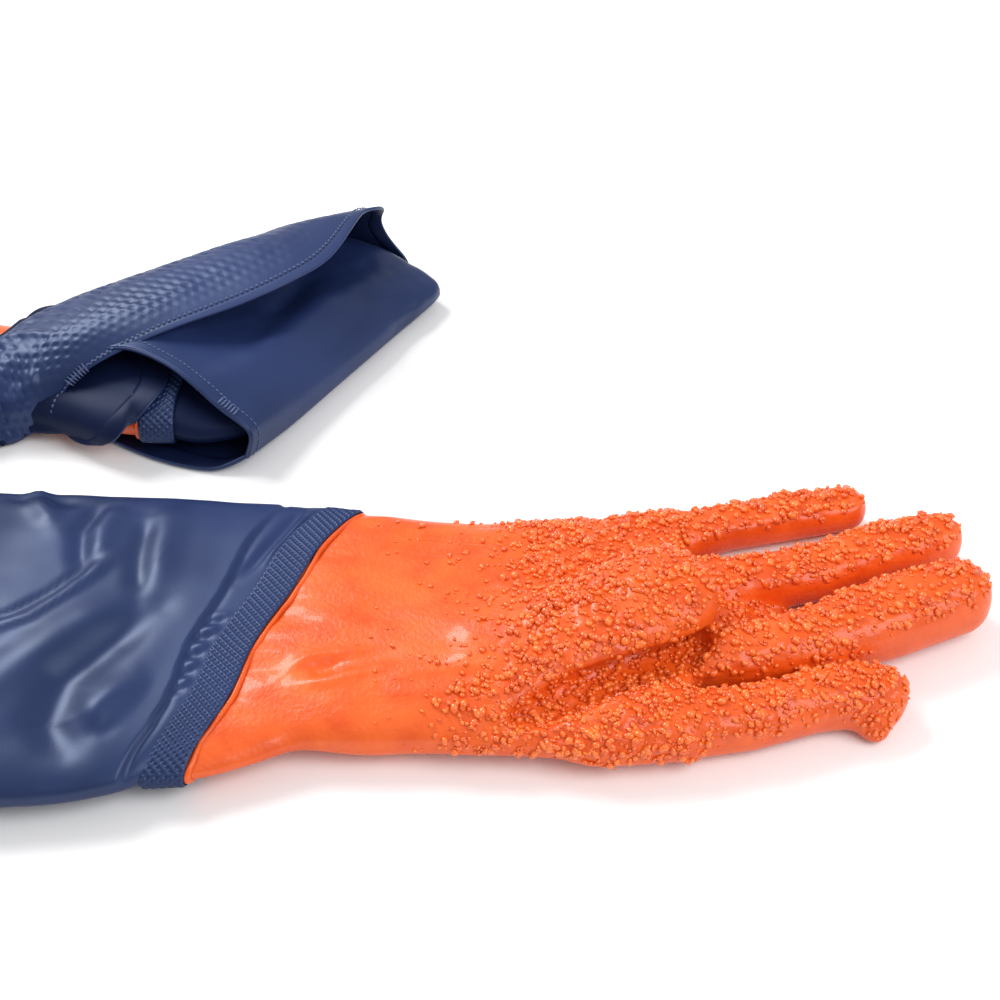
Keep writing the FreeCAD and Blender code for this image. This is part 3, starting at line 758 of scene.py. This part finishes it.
def build_hand(side, shape, place, body, per_area, behind):
    """The moulded hand, its lining and its grip grains."""
    step = 1.3
    points, faces = hand_surface(shape, step, 0.0, 3, behind)
    normals = normals_of(points, faces)
    points = wrinkled(points, normals, shape)
    points[:, 2] = np.maximum(points[:, 2], HAND_FLOOR)
    mirrored = side == "back"
    order = faces[:, ::-1] if mirrored else faces
    hand = add_mesh(f"{side}_hand", place(points), order, body, ORANGE)
    thicken(hand, HAND_WALL)
    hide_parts(f"{side}_hand_shell")

    inner, inner_faces = hand_surface(shape, 2.6, 2.6, 2, behind)
    inner[:, 2] = np.maximum(inner[:, 2], LINING_FLOOR)
    order = inner_faces[:, ::-1] if mirrored else inner_faces
    lining = add_mesh(f"{side}_lining", place(inner), order, body, KNIT)
    thicken(lining, LINING_WALL)
    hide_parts(f"{side}_hand_lining")

    palm = grains(f"{side}_grains_palm", points, faces, body, place, per_area, 71,
                  lambda p: p[:, 0] < FINGER_START)
    fingers = grains(f"{side}_grains_fingers", points, faces, body, place, per_area, 72,
                     lambda p: p[:, 0] >= FINGER_START)
    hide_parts(f"{side}_grip_granules")
    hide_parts(f"{side}_grip_granules")


# ---------------------------------------------------------------- weld band and bead

def cuff_ring(shape, grow, behind, count):
    """A ring round a hand's cuff, so far outside it and so far behind the weld."""
    angle = np.linspace(0, 2 * math.pi, 4 * count, endpoint=False)
    y, z = squarish(angle, 2 / CUFF_SQUARENESS)
    x = np.zeros_like(angle)
    for _ in range(3):
        middle, wide, high, base = shape.palm_section(x)
        plan_y = middle + (wide + grow) * y
        x = shape.weld(plan_y) - behind
    ring = np.stack([x, plan_y, base + high + (high + grow) * z], axis=1)
    return spline(ring, even_places(ring, count, True), True)


def add_placed(name, grid, place, body, material):
    """A tube worked out in a hand's plan, set in its place on the table."""
    grid = place(grid)
    faces = grid_faces(grid, grid_normals(grid))
    return add_mesh(name, grid.reshape(-1, 3), faces, body, material)


def build_band(side, shape, place, body, width, ring_length):
    """The pressed strip over the weld, cross-hatched with fine raised lines."""
    pitch, cell = 3.0, 0.42
    columns, rows = int(ring_length / cell), int(width / cell)
    reach = np.linspace(0.0, width, rows)
    grid = np.array([cuff_ring(shape, 2.0, d, columns) for d in reach])
    down, around = lengths(grid), girths(grid)
    count = round(around[:, -1].mean() / pitch)
    around = around / around[:, -1:] * count * pitch
    hatch = np.zeros(around.shape)
    for lean in (1.0, -1.0):
        phase = (around + lean * down * 0.85) / pitch
        hatch = np.maximum(hatch, np.exp(-((phase - np.round(phase)) * 4.8) ** 2))
    edge = smooth(reach, 0.0, 1.2) * (1 - smooth(reach, width - 1.2, width))
    rise = 0.2 + (0.8 * hatch) * edge[:, None] + 0.35 * fractal(grid, 11.0, 91, 2)
    grid = grid + grid_normals(grid) * rise[:, :, None]
    piece = add_placed(f"{side}_band", grid, place, body, NAVY)
    thicken(piece, BAND_WALL)
    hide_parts(f"{side}_weld_band")


def build_bead(side, shape, place, body, ring_length):
    """The thin raised lip of orange along the weld."""
    columns = int(ring_length / 1.6)
    offsets = np.linspace(0.6, -2.2, 9)
    bow = np.sqrt(1 - np.linspace(-1, 1, 9) ** 2)
    grid = np.array([cuff_ring(shape, 0.1 + 1.5 * b, d, columns) for d, b in zip(offsets, bow)])
    grid[:, :, 0] += 0.8 * noise(grid, 7.0, 93)
    piece = add_placed(f"{side}_bead", grid, place, body, ORANGE)
    thicken(piece, BEAD_WALL)
    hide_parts(f"{side}_cuff_bead")


# ---------------------------------------------------------------- front sleeve

SLEEVE_FAR = [(14, 71), (30, 71.5), (60, 74), (90, 76), (140, 80), (200, 82), (360, 83)]
SLEEVE_NEAR = [(14, 75), (22, 80), (34, 84), (72, 88.5), (140, 90), (360, 91)]
SLEEVE_HALF = [(14, 11.0), (30, 11.4), (50, 12.2), (110, 12.8), (360, 12.9)]


def front_sleeve_grid(columns):
    """The film sleeve behind the weld; rows run from the weld to the arm's end."""
    fine = 1.1
    coarse = 2.2
    behind = np.concatenate([np.arange(14.0, 62.0, fine), np.arange(62.0, 359.0, coarse), [360.0]])
    angle = np.linspace(0, 2 * math.pi, 4 * columns, endpoint=False)
    y, z = squarish(angle, 2 / SLEEVE_SQUARENESS)
    rows = []
    for d in behind:
        far, near, high = (curve(d, line) for line in (SLEEVE_FAR, SLEEVE_NEAR, SLEEVE_HALF))
        slant = 1.0 - smooth(d, 40.0, 190.0)
        plan_y = (far - near) / 2 - (far + near) / 2 * y
        x = 1.0 + (FRONT.weld(plan_y) - 1.0) * slant - d
        low = FRONT_FLOOR + 1.2 * (1 - smooth(d, 16.0, 60.0))
        ring = np.stack([x, plan_y, low + high + high * z], axis=1)
        rows.append(spline(ring, even_places(ring, columns, True), True))
    return np.array(rows), behind


def sleeve_folds(x, y):
    """Height of the folds in the film over the table plan."""
    folds = [
        ([(-203, -8), (-198, -26), (-188, -44)], 5.0, 2.6),
        ([(-215, -20), (-196, -20), (-178, -26)], 5.0, -2.0),
        ([(-170, -22), (-177, -44), (-175, -57), (-173, -72)], 4.0, -3.2),
        ([(-163, -26), (-168, -46), (-167, -66)], 6.0, 2.4),
        ([(-160, -60), (-176, -82), (-190, -97), (-212, -106)], 3.2, 2.0),
        ([(-166, -60), (-182, -82), (-198, -95), (-214, -99)], 2.6, -1.5),
        ([(-150, -34), (-150, -60), (-148, -86)], 4.5, -2.6),
        ([(-141, -22), (-142, -52), (-141, -80)], 8.0, 1.8),
        ([(-140, -90), (-156, -110), (-170, -128), (-174, -148), (-160, -168)], 9.0, -4.2),
        ([(-150, -84), (-176, -106), (-196, -128), (-214, -152)], 11.0, 2.8),
        ([(-132, -128), (-150, -138), (-164, -148)], 9.0, 2.8),
        ([(-126, -146), (-142, -152), (-156, -154)], 4.0, -2.0),
        ([(-200, -112), (-224, -116), (-250, -112)], 5.0, -2.2),
        ([(-196, -150), (-222, -158), (-260, -154)], 8.0, 2.4),
        ([(-220, -44), (-250, -52), (-290, -46)], 9.0, 2.6),
        ([(-232, -72), (-262, -84), (-300, -86)], 8.0, -3.0),
        ([(-280, -112), (-320, -120), (-370, -108)], 10.0, 2.8),
        ([(-300, -62), (-350, -52), (-400, -60)], 9.0, -2.6),
        ([(-340, -140), (-380, -132), (-430, -138)], 8.0, -2.4),
        ([(-390, -90), (-420, -96), (-448, -92)], 9.0, 2.0),
    ]
    return sum(ridge(x, y, line, width, height) for line, width, height in folds)


def crease_line(y):
    """How far behind the weld the overlapped crease lies, across the sleeve."""
    return np.interp(y, [-172, -150, -120, -95, -60, -20], [23, 22, 25, 27, 31, 38])


def build_front_sleeve():
    columns = 210
    grid, behind = front_sleeve_grid(columns)
    normals = grid_normals(grid)
    plan = grid + WRIST
    x, y = plan[..., 0], plan[..., 1]
    d = behind[:, None] + np.zeros(x.shape)
    top = smooth(normals[..., 2], 0.15, 0.7)
    gap = d - crease_line(y)
    lap = smooth(gap, -0.8, 0.8) * (1.1 + 0.7 * np.exp(-np.clip(gap, 0, None) / 14.0))
    lap *= (1 - smooth(d, 60.0, 150.0)) * (1 - 0.75 * smooth(y, -48.0, -26.0))
    tuck = -0.5 * np.exp(-((gap + 1.6) / 1.6) ** 2)
    shift = lap + tuck
    between = smooth(d, 17.5, 20.0) * (1 - smooth(gap, -3.0, -0.5))
    rungs = np.sin((y + 4) * 2 * math.pi / 9.0) * smooth(-y, 88, 98) * (1 - smooth(-y, 126, 140))
    shift += 1.1 * rungs * between
    shift += between * ridge(x, y, [(-84, -24), (-93, -44), (-101, -60), (-109, -74)], 2.6, -1.6)
    shift += between * ridge(x, y, [(-80, -28), (-88, -46), (-97, -62)], 2.4, 2.2)
    shift += sleeve_folds(x, y) * smooth(d, 30.0, 48.0)
    shift += 0.9 * fractal(plan * (1.0, 1.0, 0.5), 46.0, 101) * smooth(d, 24.0, 50.0)
    side_wave = 1.2 * fractal(plan, 30.0, 111) * smooth(d, 30.0, 60.0) * (1 - top)
    keep_clear = smooth(normals[..., 2], -0.5, 0.0)
    moved = plan + normals * (shift * top + side_wave * keep_clear)[..., None]
    moved[..., 2] = np.maximum(moved[..., 2], FRONT_FLOOR)
    piece = film("front_sleeve_film", moved, SLEEVE_WALL, "front_glove")
    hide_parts("front_sleeve")
    normals = grid_normals(moved)
    finish_mouth("front", "front_hem_thread", moved, normals, "front_glove", SLEEVE_WALL,
                 width=8.0, rise=0.5, sewn_at=6.4, pitch=3.4, stitch=2.6)
    seam_strip("front_seam", moved, normals, "front_glove", "front_sleeve_seam", 60.0)


def seam_strip(name, grid, normals, body, node, start):
    """The welded lengthwise seam, a narrow pressed strip under a tube."""
    column = int(np.argmin(grid[len(grid) // 2, :, 2] + 0.02 * np.abs(
        grid[len(grid) // 2, :, 1] - grid[len(grid) // 2, :, 1].mean())))
    along = lengths(grid)[:, column]
    keep = (along > start) & (along < along[-1] - 9.0)
    middle, out = grid[keep, column], normals[keep, column]
    ahead = np.gradient(middle, axis=0)
    side = np.cross(out, ahead)
    side /= np.linalg.norm(side, axis=1, keepdims=True)
    profile = [(-2.5, 0.05), (-2.1, 0.5), (-0.8, 0.6), (0.8, 0.6), (2.1, 0.5), (2.5, 0.05)]
    strip = np.stack([middle + side * a + out * b for a, b in profile], axis=1)
    faces = grid_faces(strip, np.repeat(out[:, None], len(profile), axis=1), closed=False)
    piece = add_mesh(name, strip.reshape(-1, 3), faces, body, NAVY)
    thicken(piece, STRIP_WALL)
    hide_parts(node)


def build_front_inner():
    """The undersleeve inside the front sleeve."""
    near, far, low, side, high = -166.0, -18.0, 4.6, 11.5, 18.8
    stations = []
    for x, tuck in ((-166, 2.0), (-230, 0.5), (-330, 0.0), (-438, 0.0)):
        a, b = near + tuck, far - tuck
        across = (a, a + 6, a + 34, (a + b) / 2, b - 34, b - 6, b)
        over = (side, high - 2, high, high - 0.8, high, high - 2, side)
        beneath = (low + 1, low, low, low, low + 1)
        top = [(x, y, z) for y, z in zip(across, over)]
        under = [(x, y, z) for y, z in zip(across[-2:0:-1], beneath)]
        stations.append(ring_of(top, under))
    cell = 1.7
    grid = loft(stations, int(276 / cell), int(156 / cell), int(156 / cell))
    normals = grid_normals(grid)
    pits = dimples(grid, 5.2, 0.5, 121) * smooth(girths(grid), 0, 1)
    wave = 0.5 * fractal(grid, 34.0, 131)
    grid = grid + normals * np.clip(pits + wave, -1.2, 0.5)[..., None]
    piece = film("front_inner_film", grid, INNER_WALL, "front_inner_sleeve")
    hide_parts("front_inner_sleeve")
    normals = grid_normals(grid)
    finish_mouth("front_inner", "front_inner_thread", grid, normals, "front_inner_sleeve",
                 INNER_WALL, width=8.0, rise=0.4, sewn_at=6.4, pitch=3.4, stitch=2.6)


# ---------------------------------------------------------------- back sleeve

TURNED_CORNER = np.array([-117.0, 17.0])
TURNED_HEADING = math.radians(55.0)


def turned(points):
    """Points given as (ahead, aside, z) from the turned-back mouth's near corner."""
    ahead = np.array([math.cos(TURNED_HEADING), math.sin(TURNED_HEADING)])
    aside = np.array([-ahead[1], ahead[0]])
    return [(*(TURNED_CORNER + d * ahead + a * aside), z) for d, a, z in points]


def oval(x, y, heading, wide, high, base):
    """A flattened ring across a heading, as a line over the top and a line back under."""
    lines = []
    for angles in (np.linspace(math.pi, 0, 9), np.linspace(0, -math.pi, 9)):
        across, up = squarish(angles, 0.8)
        out = wide / 2 * across
        z = base + high / 2 * (1 + up)
        a = math.radians(heading)
        lines.append(np.stack([x - out * math.sin(a), y + out * math.cos(a), z], axis=1))
    return tuple(lines)


def turned_ring(top, under):
    """A ring of the turned-back sleeve, from (ahead, aside, z) points."""
    return tuple(turned(line) for line in ring_of(top, under))


def level_ring(ahead, top, under):
    """A turned ring that lies all at one distance ahead, from (aside, z) points."""
    return turned_ring([(ahead, *p) for p in top], [(ahead, *p) for p in under])


def back_sleeve_stations():
    """The film from the weld, round inside the cuff to the fold, and back outside to the hem."""
    wrist = [oval(-158, 60, 0, 62.6, 21.8, 3.9), oval(-149, 60, 0, 63.5, 22.2, 3.6),
             oval(-139, 60, 10, 68, 20, 3.2), oval(-128, 68, 28, 76, 19, 3.0)]
    inside = [
        level_ring(48, [(7, 12), (10, 18), (28, 21), (46, 22), (66, 21), (80, 12)],
                   [(72, 4), (46, 3.2), (22, 3.2), (10, 5)]),
        level_ring(100, [(6, 10), (9, 15), (26, 18), (42, 19), (60, 18), (74, 10)],
                   [(66, 4), (42, 3.2), (20, 3.2), (9, 5)]),
        level_ring(146, [(7, 8), (10, 11), (26, 13), (42, 14), (58, 13), (70, 9)],
                   [(62, 4.4), (42, 3.6), (22, 3.6), (10, 5)])]
    fold = turned_ring(
        [(152, 2, 7), (152.6, 6, 12), (153, 24, 15), (153, 42, 16), (152, 62, 15), (150, 75, 9)],
        [(152, 64, 3), (153, 42, 2), (153, 22, 2), (152.6, 7, 3)])
    outside = [
        level_ring(146, [(-1, 6), (1, 12), (22, 17), (42, 19), (62, 18), (78, 9)],
                   [(66, 1.8), (42, 1.4), (22, 1.4), (4, 1.8)]),
        level_ring(112, [(-1, 6), (1, 14), (20, 21.5), (38, 22), (54, 24), (68, 30), (80, 24),
                         (86, 8)],
                   [(72, 1.8), (44, 1.4), (22, 1.4), (4, 1.8)]),
        level_ring(72, [(-1, 6), (1, 16), (18, 26), (36, 26.5), (52, 28), (66, 38), (80, 34),
                        (92, 10)],
                   [(78, 1.8), (46, 1.4), (22, 1.4), (4, 1.8)]),
        level_ring(32, [(-1, 6), (0, 19), (18, 32), (36, 34.5), (52, 37), (66, 42), (84, 36),
                        (96, 12)],
                   [(82, 1.8), (48, 1.4), (22, 1.4), (4, 1.8)])]
    mouth = turned_ring(
        [(4, -1, 8), (6, -2, 22), (4, 13, 30.5), (3.5, 25, 36.5), (4.5, 45, 41), (1.5, 66, 41),
         (-8, 84, 35), (-16, 96, 14)],
        [(-18, 84, 2.4), (-18, 60, 1.4), (-15, 34, 1.4), (-7, 12, 1.6)])
    return [*wrist, *inside, fold, *outside, mouth]


def build_back_sleeve():
    cell = 1.7
    stations = back_sleeve_stations()
    grid = loft(stations, int(345 / cell), int(122 / cell), int(108 / cell))
    normals = grid_normals(grid)
    run = lengths(grid).mean(axis=1)[:, None] + np.zeros(grid.shape[:2])
    outer = smooth(run, 190.0, 215.0)
    x, y = grid[..., 0], grid[..., 1]
    top = smooth(grid[..., 2], 10.0, 22.0)
    spot = turned([(40, 20, 0), (78, 26, 0), (112, 30, 0), (64, 40, 0), (104, 46, 0), (138, 44, 0),
                   (58, 6, 0), (120, 8, 0)])
    flat = [(p[0], p[1]) for p in spot]
    folds = ridge(x, y, flat[0:3], 7.0, 2.6)
    folds = folds + ridge(x, y, flat[3:6], 6.0, -3.2) + ridge(x, y, flat[6:8], 5.0, -1.0)
    shift = (folds * top + 0.7 * fractal(grid, 38.0, 141) * smooth(grid[..., 2], 4.0, 12.0)) * outer
    core = (1 - outer) * smooth(run, 22.0, 40.0)
    shift += 1.1 * fractal(grid, 22.0, 151) * core * smooth(grid[..., 2], 4.0, 9.0)
    grid = grid - normals * shift[..., None]
    grid[..., 2] = np.maximum(grid[..., 2], BACK_FLOOR)
    # Here the faces that look into the turned-back cuff's hollow take the darker navy as painted
    # shade.
    piece = film("back_sleeve_film", grid, SLEEVE_WALL, "back_glove",
                 faces_of=(NAVY_PAINTED_SHADE, NAVY))
    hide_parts("back_sleeve")
    out = -grid_normals(grid)
    finish_mouth("back", "back_hem_thread", grid, out, "back_glove", SLEEVE_WALL,
                 width=8.0, rise=0.55, sewn_at=6.6, pitch=2.5, stitch=1.9, proud=0.55)
    build_tack("back_sleeve_tack", grid, out, 0.10, "back_glove", "back_sleeve_bar_tack")
    turned_back = slice(len(grid) // 2 + 12, None)
    seam_strip("back_seam", grid[turned_back], out[turned_back], "back_glove",
               "back_sleeve_seam", 20.0)


def build_tack(name, grid, out, share, body, node):
    """A ladder of close bars across the hem, between its edge and its stitching."""
    row = row_at(grid, 3.4)
    columns = grid.shape[1]
    start = int(share * columns)
    span = max(3, int(13.0 / np.linalg.norm(grid[row, start + 1] - grid[row, start])))
    picks = slice(start, start + span)
    line = grid[row, picks] + out[row, picks] * 0.7
    tack = stitch_row(name, line, out[row, picks], 1.7, 5.6, body, across=True, radius=0.45)
    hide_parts(node)


# ---------------------------------------------------------------- back inner sleeve

def drape_stations():
    """The undersleeve laid over its own hand, from its far end to the open mouth."""
    end = ring_of(
        [(-404, 16, 14), (-403, 20, 30), (-403, 44, 36), (-404, 74, 38), (-403, 104, 37),
         (-403, 130, 31), (-404, 136, 14)],
        [(-405, 128, 26), (-405, 104, 28), (-405, 74, 28.5), (-405, 44, 28), (-405, 22, 24)])
    wide = ring_of(
        [(-330, 14, 8), (-330, 20, 28), (-330, 44, 37), (-331, 74, 39), (-330, 104, 37),
         (-330, 134, 28), (-330, 140, 10)],
        [(-331, 130, 25), (-331, 104, 28), (-331, 74, 28.5), (-331, 44, 28), (-330, 22, 22)])
    neck = ring_of(
        [(-252, 30, 2), (-253, 36, 18), (-255, 46, 29), (-256, 54, 31), (-257, 61, 30),
         (-258, 68, 28.6), (-258, 73, 27.8)],
        [(-258, 68, 26.6), (-257, 59, 26.4), (-255, 50, 26), (-253, 41, 16), (-252, 35, 4)])
    flare = ring_of(
        [(-230, 34, 2), (-230, 42, 20), (-229, 51, 30), (-227, 61, 34), (-222, 76, 36),
         (-214, 91, 36), (-207, 102, 30), (-205, 109, 16), (-208, 111, 4)],
        [(-212, 103, 15), (-218, 91, 24), (-225, 79, 27), (-231, 66, 27), (-232, 54, 26),
         (-231, 43, 12)])
    room = ring_of(
        [(-220, 37, 3), (-218, 45, 24), (-211, 58, 37), (-196, 74, 44), (-174, 95, 47.5),
         (-152, 112, 48), (-140, 126, 44), (-137, 142, 29), (-142, 158, 4)],
        [(-165, 148, 3), (-190, 132, 6), (-210, 116, 15), (-221, 100, 27), (-225, 76, 28),
         (-222, 54, 27), (-221, 43, 12)])
    heel = ring_of(
        [(-209, 40, 9), (-206, 46, 28), (-196, 57, 39), (-178, 70, 47), (-158, 83, 51),
         (-130, 102, 52.5), (-106, 122, 52), (-92, 146, 48), (-88, 160, 34), (-90, 172, 18),
         (-92, 176, 3)],
        [(-112, 181, 2), (-140, 165, 3), (-172, 143, 4), (-197, 123, 13), (-212, 103, 26),
         (-212, 80, 27.6), (-202, 60, 27), (-196, 48, 24), (-197, 38, 16), (-204, 36, 8)])
    mouth = ring_of(
        [(-201, 44, 15), (-197, 47, 26), (-184, 52, 35), (-165, 59, 42), (-146, 67, 46),
         (-120, 80, 48), (-97, 95, 50), (-80, 114, 50), (-67, 150, 48.5), (-61, 168, 38),
         (-55, 172, 26), (-53, 166, 14), (-49, 161, 3)],
        [(-72, 183, 2), (-95, 192, 2), (-125, 180, 2), (-160, 152, 3), (-190, 128, 9),
         (-204, 108, 25), (-188, 94, 28), (-168, 80, 28.4), (-155, 64, 28.4), (-152, 48, 28),
         (-158, 35, 26), (-170, 27, 17), (-185, 27, 9), (-197, 35, 8)])
    return [end, wide, neck, flare, room, heel, mouth]


def clear_of_hand(grid, under=3.2, over=5.4):
    """The draped film pushed out to lie clear of the back hand, its upper layer above its lower."""
    share = np.arange(grid.shape[1]) / grid.shape[1]
    upper = smooth(share, 0.06, 0.12) * (1 - smooth(share, 0.5, 0.57))
    clearance = under + (over - under) * upper
    for _ in range(4):
        x, y, z = np.moveaxis((grid - BACK_HAND) * (-1.0, 1.0, 1.0), -1, 0)
        here = BACK.field(x, y, z)
        slope = np.stack([BACK.field(x + 1, y, z), BACK.field(x, y + 1, z),
                          BACK.field(x, y, z + 1)], axis=-1) - here[..., None]
        slope /= np.maximum(np.linalg.norm(slope, axis=-1, keepdims=True), 1e-6)
        push = np.clip(clearance - here, 0.0, 4.0) * (x > 2.0)
        grid = grid + slope * (-1.0, 1.0, 1.0) * push[..., None]
    return grid


def build_drape():
    cell = 1.25
    grid = loft(drape_stations(), int(330 / cell), int(225 / cell), int(170 / cell))
    normals = grid_normals(grid)
    x, y, z = grid[..., 0], grid[..., 1], grid[..., 2]
    edge = lengths(grid[::-1])[::-1]
    top = smooth(normals[..., 2], -0.2, 0.25)
    pits = dimples(grid, 4.8, 0.6, 161) * top * smooth(edge, 6.0, 26.0)
    pits *= 1 - 0.6 * smooth(x, -130.0, -90.0)
    soft = 1.3 * fractal(grid, 42.0, 171) * smooth(edge, 4.0, 30.0)
    crumple_area = smooth(-x, 205.0, 222.0) * (1 - smooth(z, 24.0, 38.0)) * smooth(50 - y, 0, 30)
    crumple = 3.2 * np.abs(fractal(grid, 13.0, 181)) * crumple_area
    folds = ridge(x, y, [(-209, 52), (-216, 44), (-228, 42)], 3.5, 3.2)
    folds = folds + ridge(x, y, [(-206, 66), (-220, 72), (-240, 70)], 3.0, 1.8)
    lobes = 4.5 * np.sin(z / 5.4) * smooth(x, -74.0, -60.0) * smooth(y, 150.0, 160.0)
    shift = pits + soft * smooth(normals[..., 2], -0.3, 0.2) + crumple + folds * top
    grid = grid + normals * shift[..., None]
    grid[..., 0] += lobes
    grid = clear_of_hand(grid)
    grid[..., 2] = np.maximum(grid[..., 2], DRAPE_FLOOR)
    piece = film("back_inner_film", grid, INNER_WALL, "back_inner_sleeve")
    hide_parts("back_inner_sleeve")
    normals = grid_normals(grid)
    finish_mouth("back_inner", "back_inner_thread", grid, normals, "back_inner_sleeve", INNER_WALL,
                 width=7.0, rise=0.5, sewn_at=6.0, pitch=2.6, stitch=2.0, proud=0.5)
    build_tack("back_inner_tack", grid, normals, 0.035, "back_inner_sleeve",
               "back_inner_bar_tack")


def build_object():
    build_hand("front", FRONT, front_place, "front_glove", per_area=0.21, behind=13.0)
    build_hand("back", BACK, back_place, "back_glove", per_area=0.19, behind=5.0)
    cuffs = (("front", FRONT, front_place, 17.0, 330.0), ("back", BACK, back_place, 16.0, 160.0))
    for side, shape, place, band_width, ring_length in cuffs:
        body = f"{side}_glove"
        build_band(side, shape, place, body, band_width, ring_length)
        build_bead(side, shape, place, body, ring_length)
    build_front_sleeve()
    build_front_inner()
    build_back_sleeve()
    build_drape()


# ---------------------------------------------------------------- stage

def build_stage():
    mesh = bpy.data.meshes.new("floor")
    wide = 4.0
    mesh.from_pydata([(-wide, -wide, 0), (wide, -wide, 0), (wide, wide, 0), (-wide, wide, 0)], [],
                     [(0, 1, 2, 3)])
    floor = bpy.data.objects.new("floor", mesh)
    floor.location.z = -0.0004
    bpy.context.scene.collection.objects.link(floor)
    material, _, _, shader, _ = new_material("floor")
    shader.inputs["Base Color"].default_value = (0.93, 0.93, 0.935, 1.0)
    shader.inputs["Roughness"].default_value = 0.9
    mesh.materials.append(material)


def build_light(name, place, target, size, power):
    light = bpy.data.lights.new(name, "AREA")
    light.shape = "SQUARE"
    light.size = size
    light.energy = power
    lamp = bpy.data.objects.new(name, light)
    lamp.location = place
    lamp.rotation_euler = (Vector(target) - Vector(place)).to_track_quat("-Z", "Y").to_euler()
    bpy.context.scene.collection.objects.link(lamp)


def build_camera():
    """The photograph's view: 44 degrees down, from 0.895 m, with a 72 mm lens."""
    camera = bpy.data.cameras.new("camera")
    camera.lens, camera.sensor_width = 72.0, 36.0
    tilt, distance = math.radians(44.0), 0.895
    eye = bpy.data.objects.new("camera", camera)
    eye.location = Vector(TABLE) + Vector((0, -distance * math.cos(tilt), distance * math.sin(tilt)))
    eye.rotation_euler = (math.pi / 2 - tilt, 0, 0)
    bpy.context.scene.collection.objects.link(eye)
    bpy.context.scene.camera = eye


def build_world():
    world = bpy.data.worlds.new("studio")
    world.use_nodes = True
    sky = next(n for n in world.node_tree.nodes if n.type == "BACKGROUND")
    sky.inputs["Color"].default_value = (1.0, 1.0, 1.0, 1.0)
    sky.inputs["Strength"].default_value = 0.55
    bpy.context.scene.world = world
    bpy.context.scene.view_settings.view_transform = "Standard"


build_object()
build_stage()
build_world()
middle = tuple(TABLE)
build_light("key", (-0.85, 0.85, 1.25), middle, 0.9, 30.0)
build_light("fill", (0.9, -0.6, 1.1), middle, 0.9, 12.0)
build_camera()
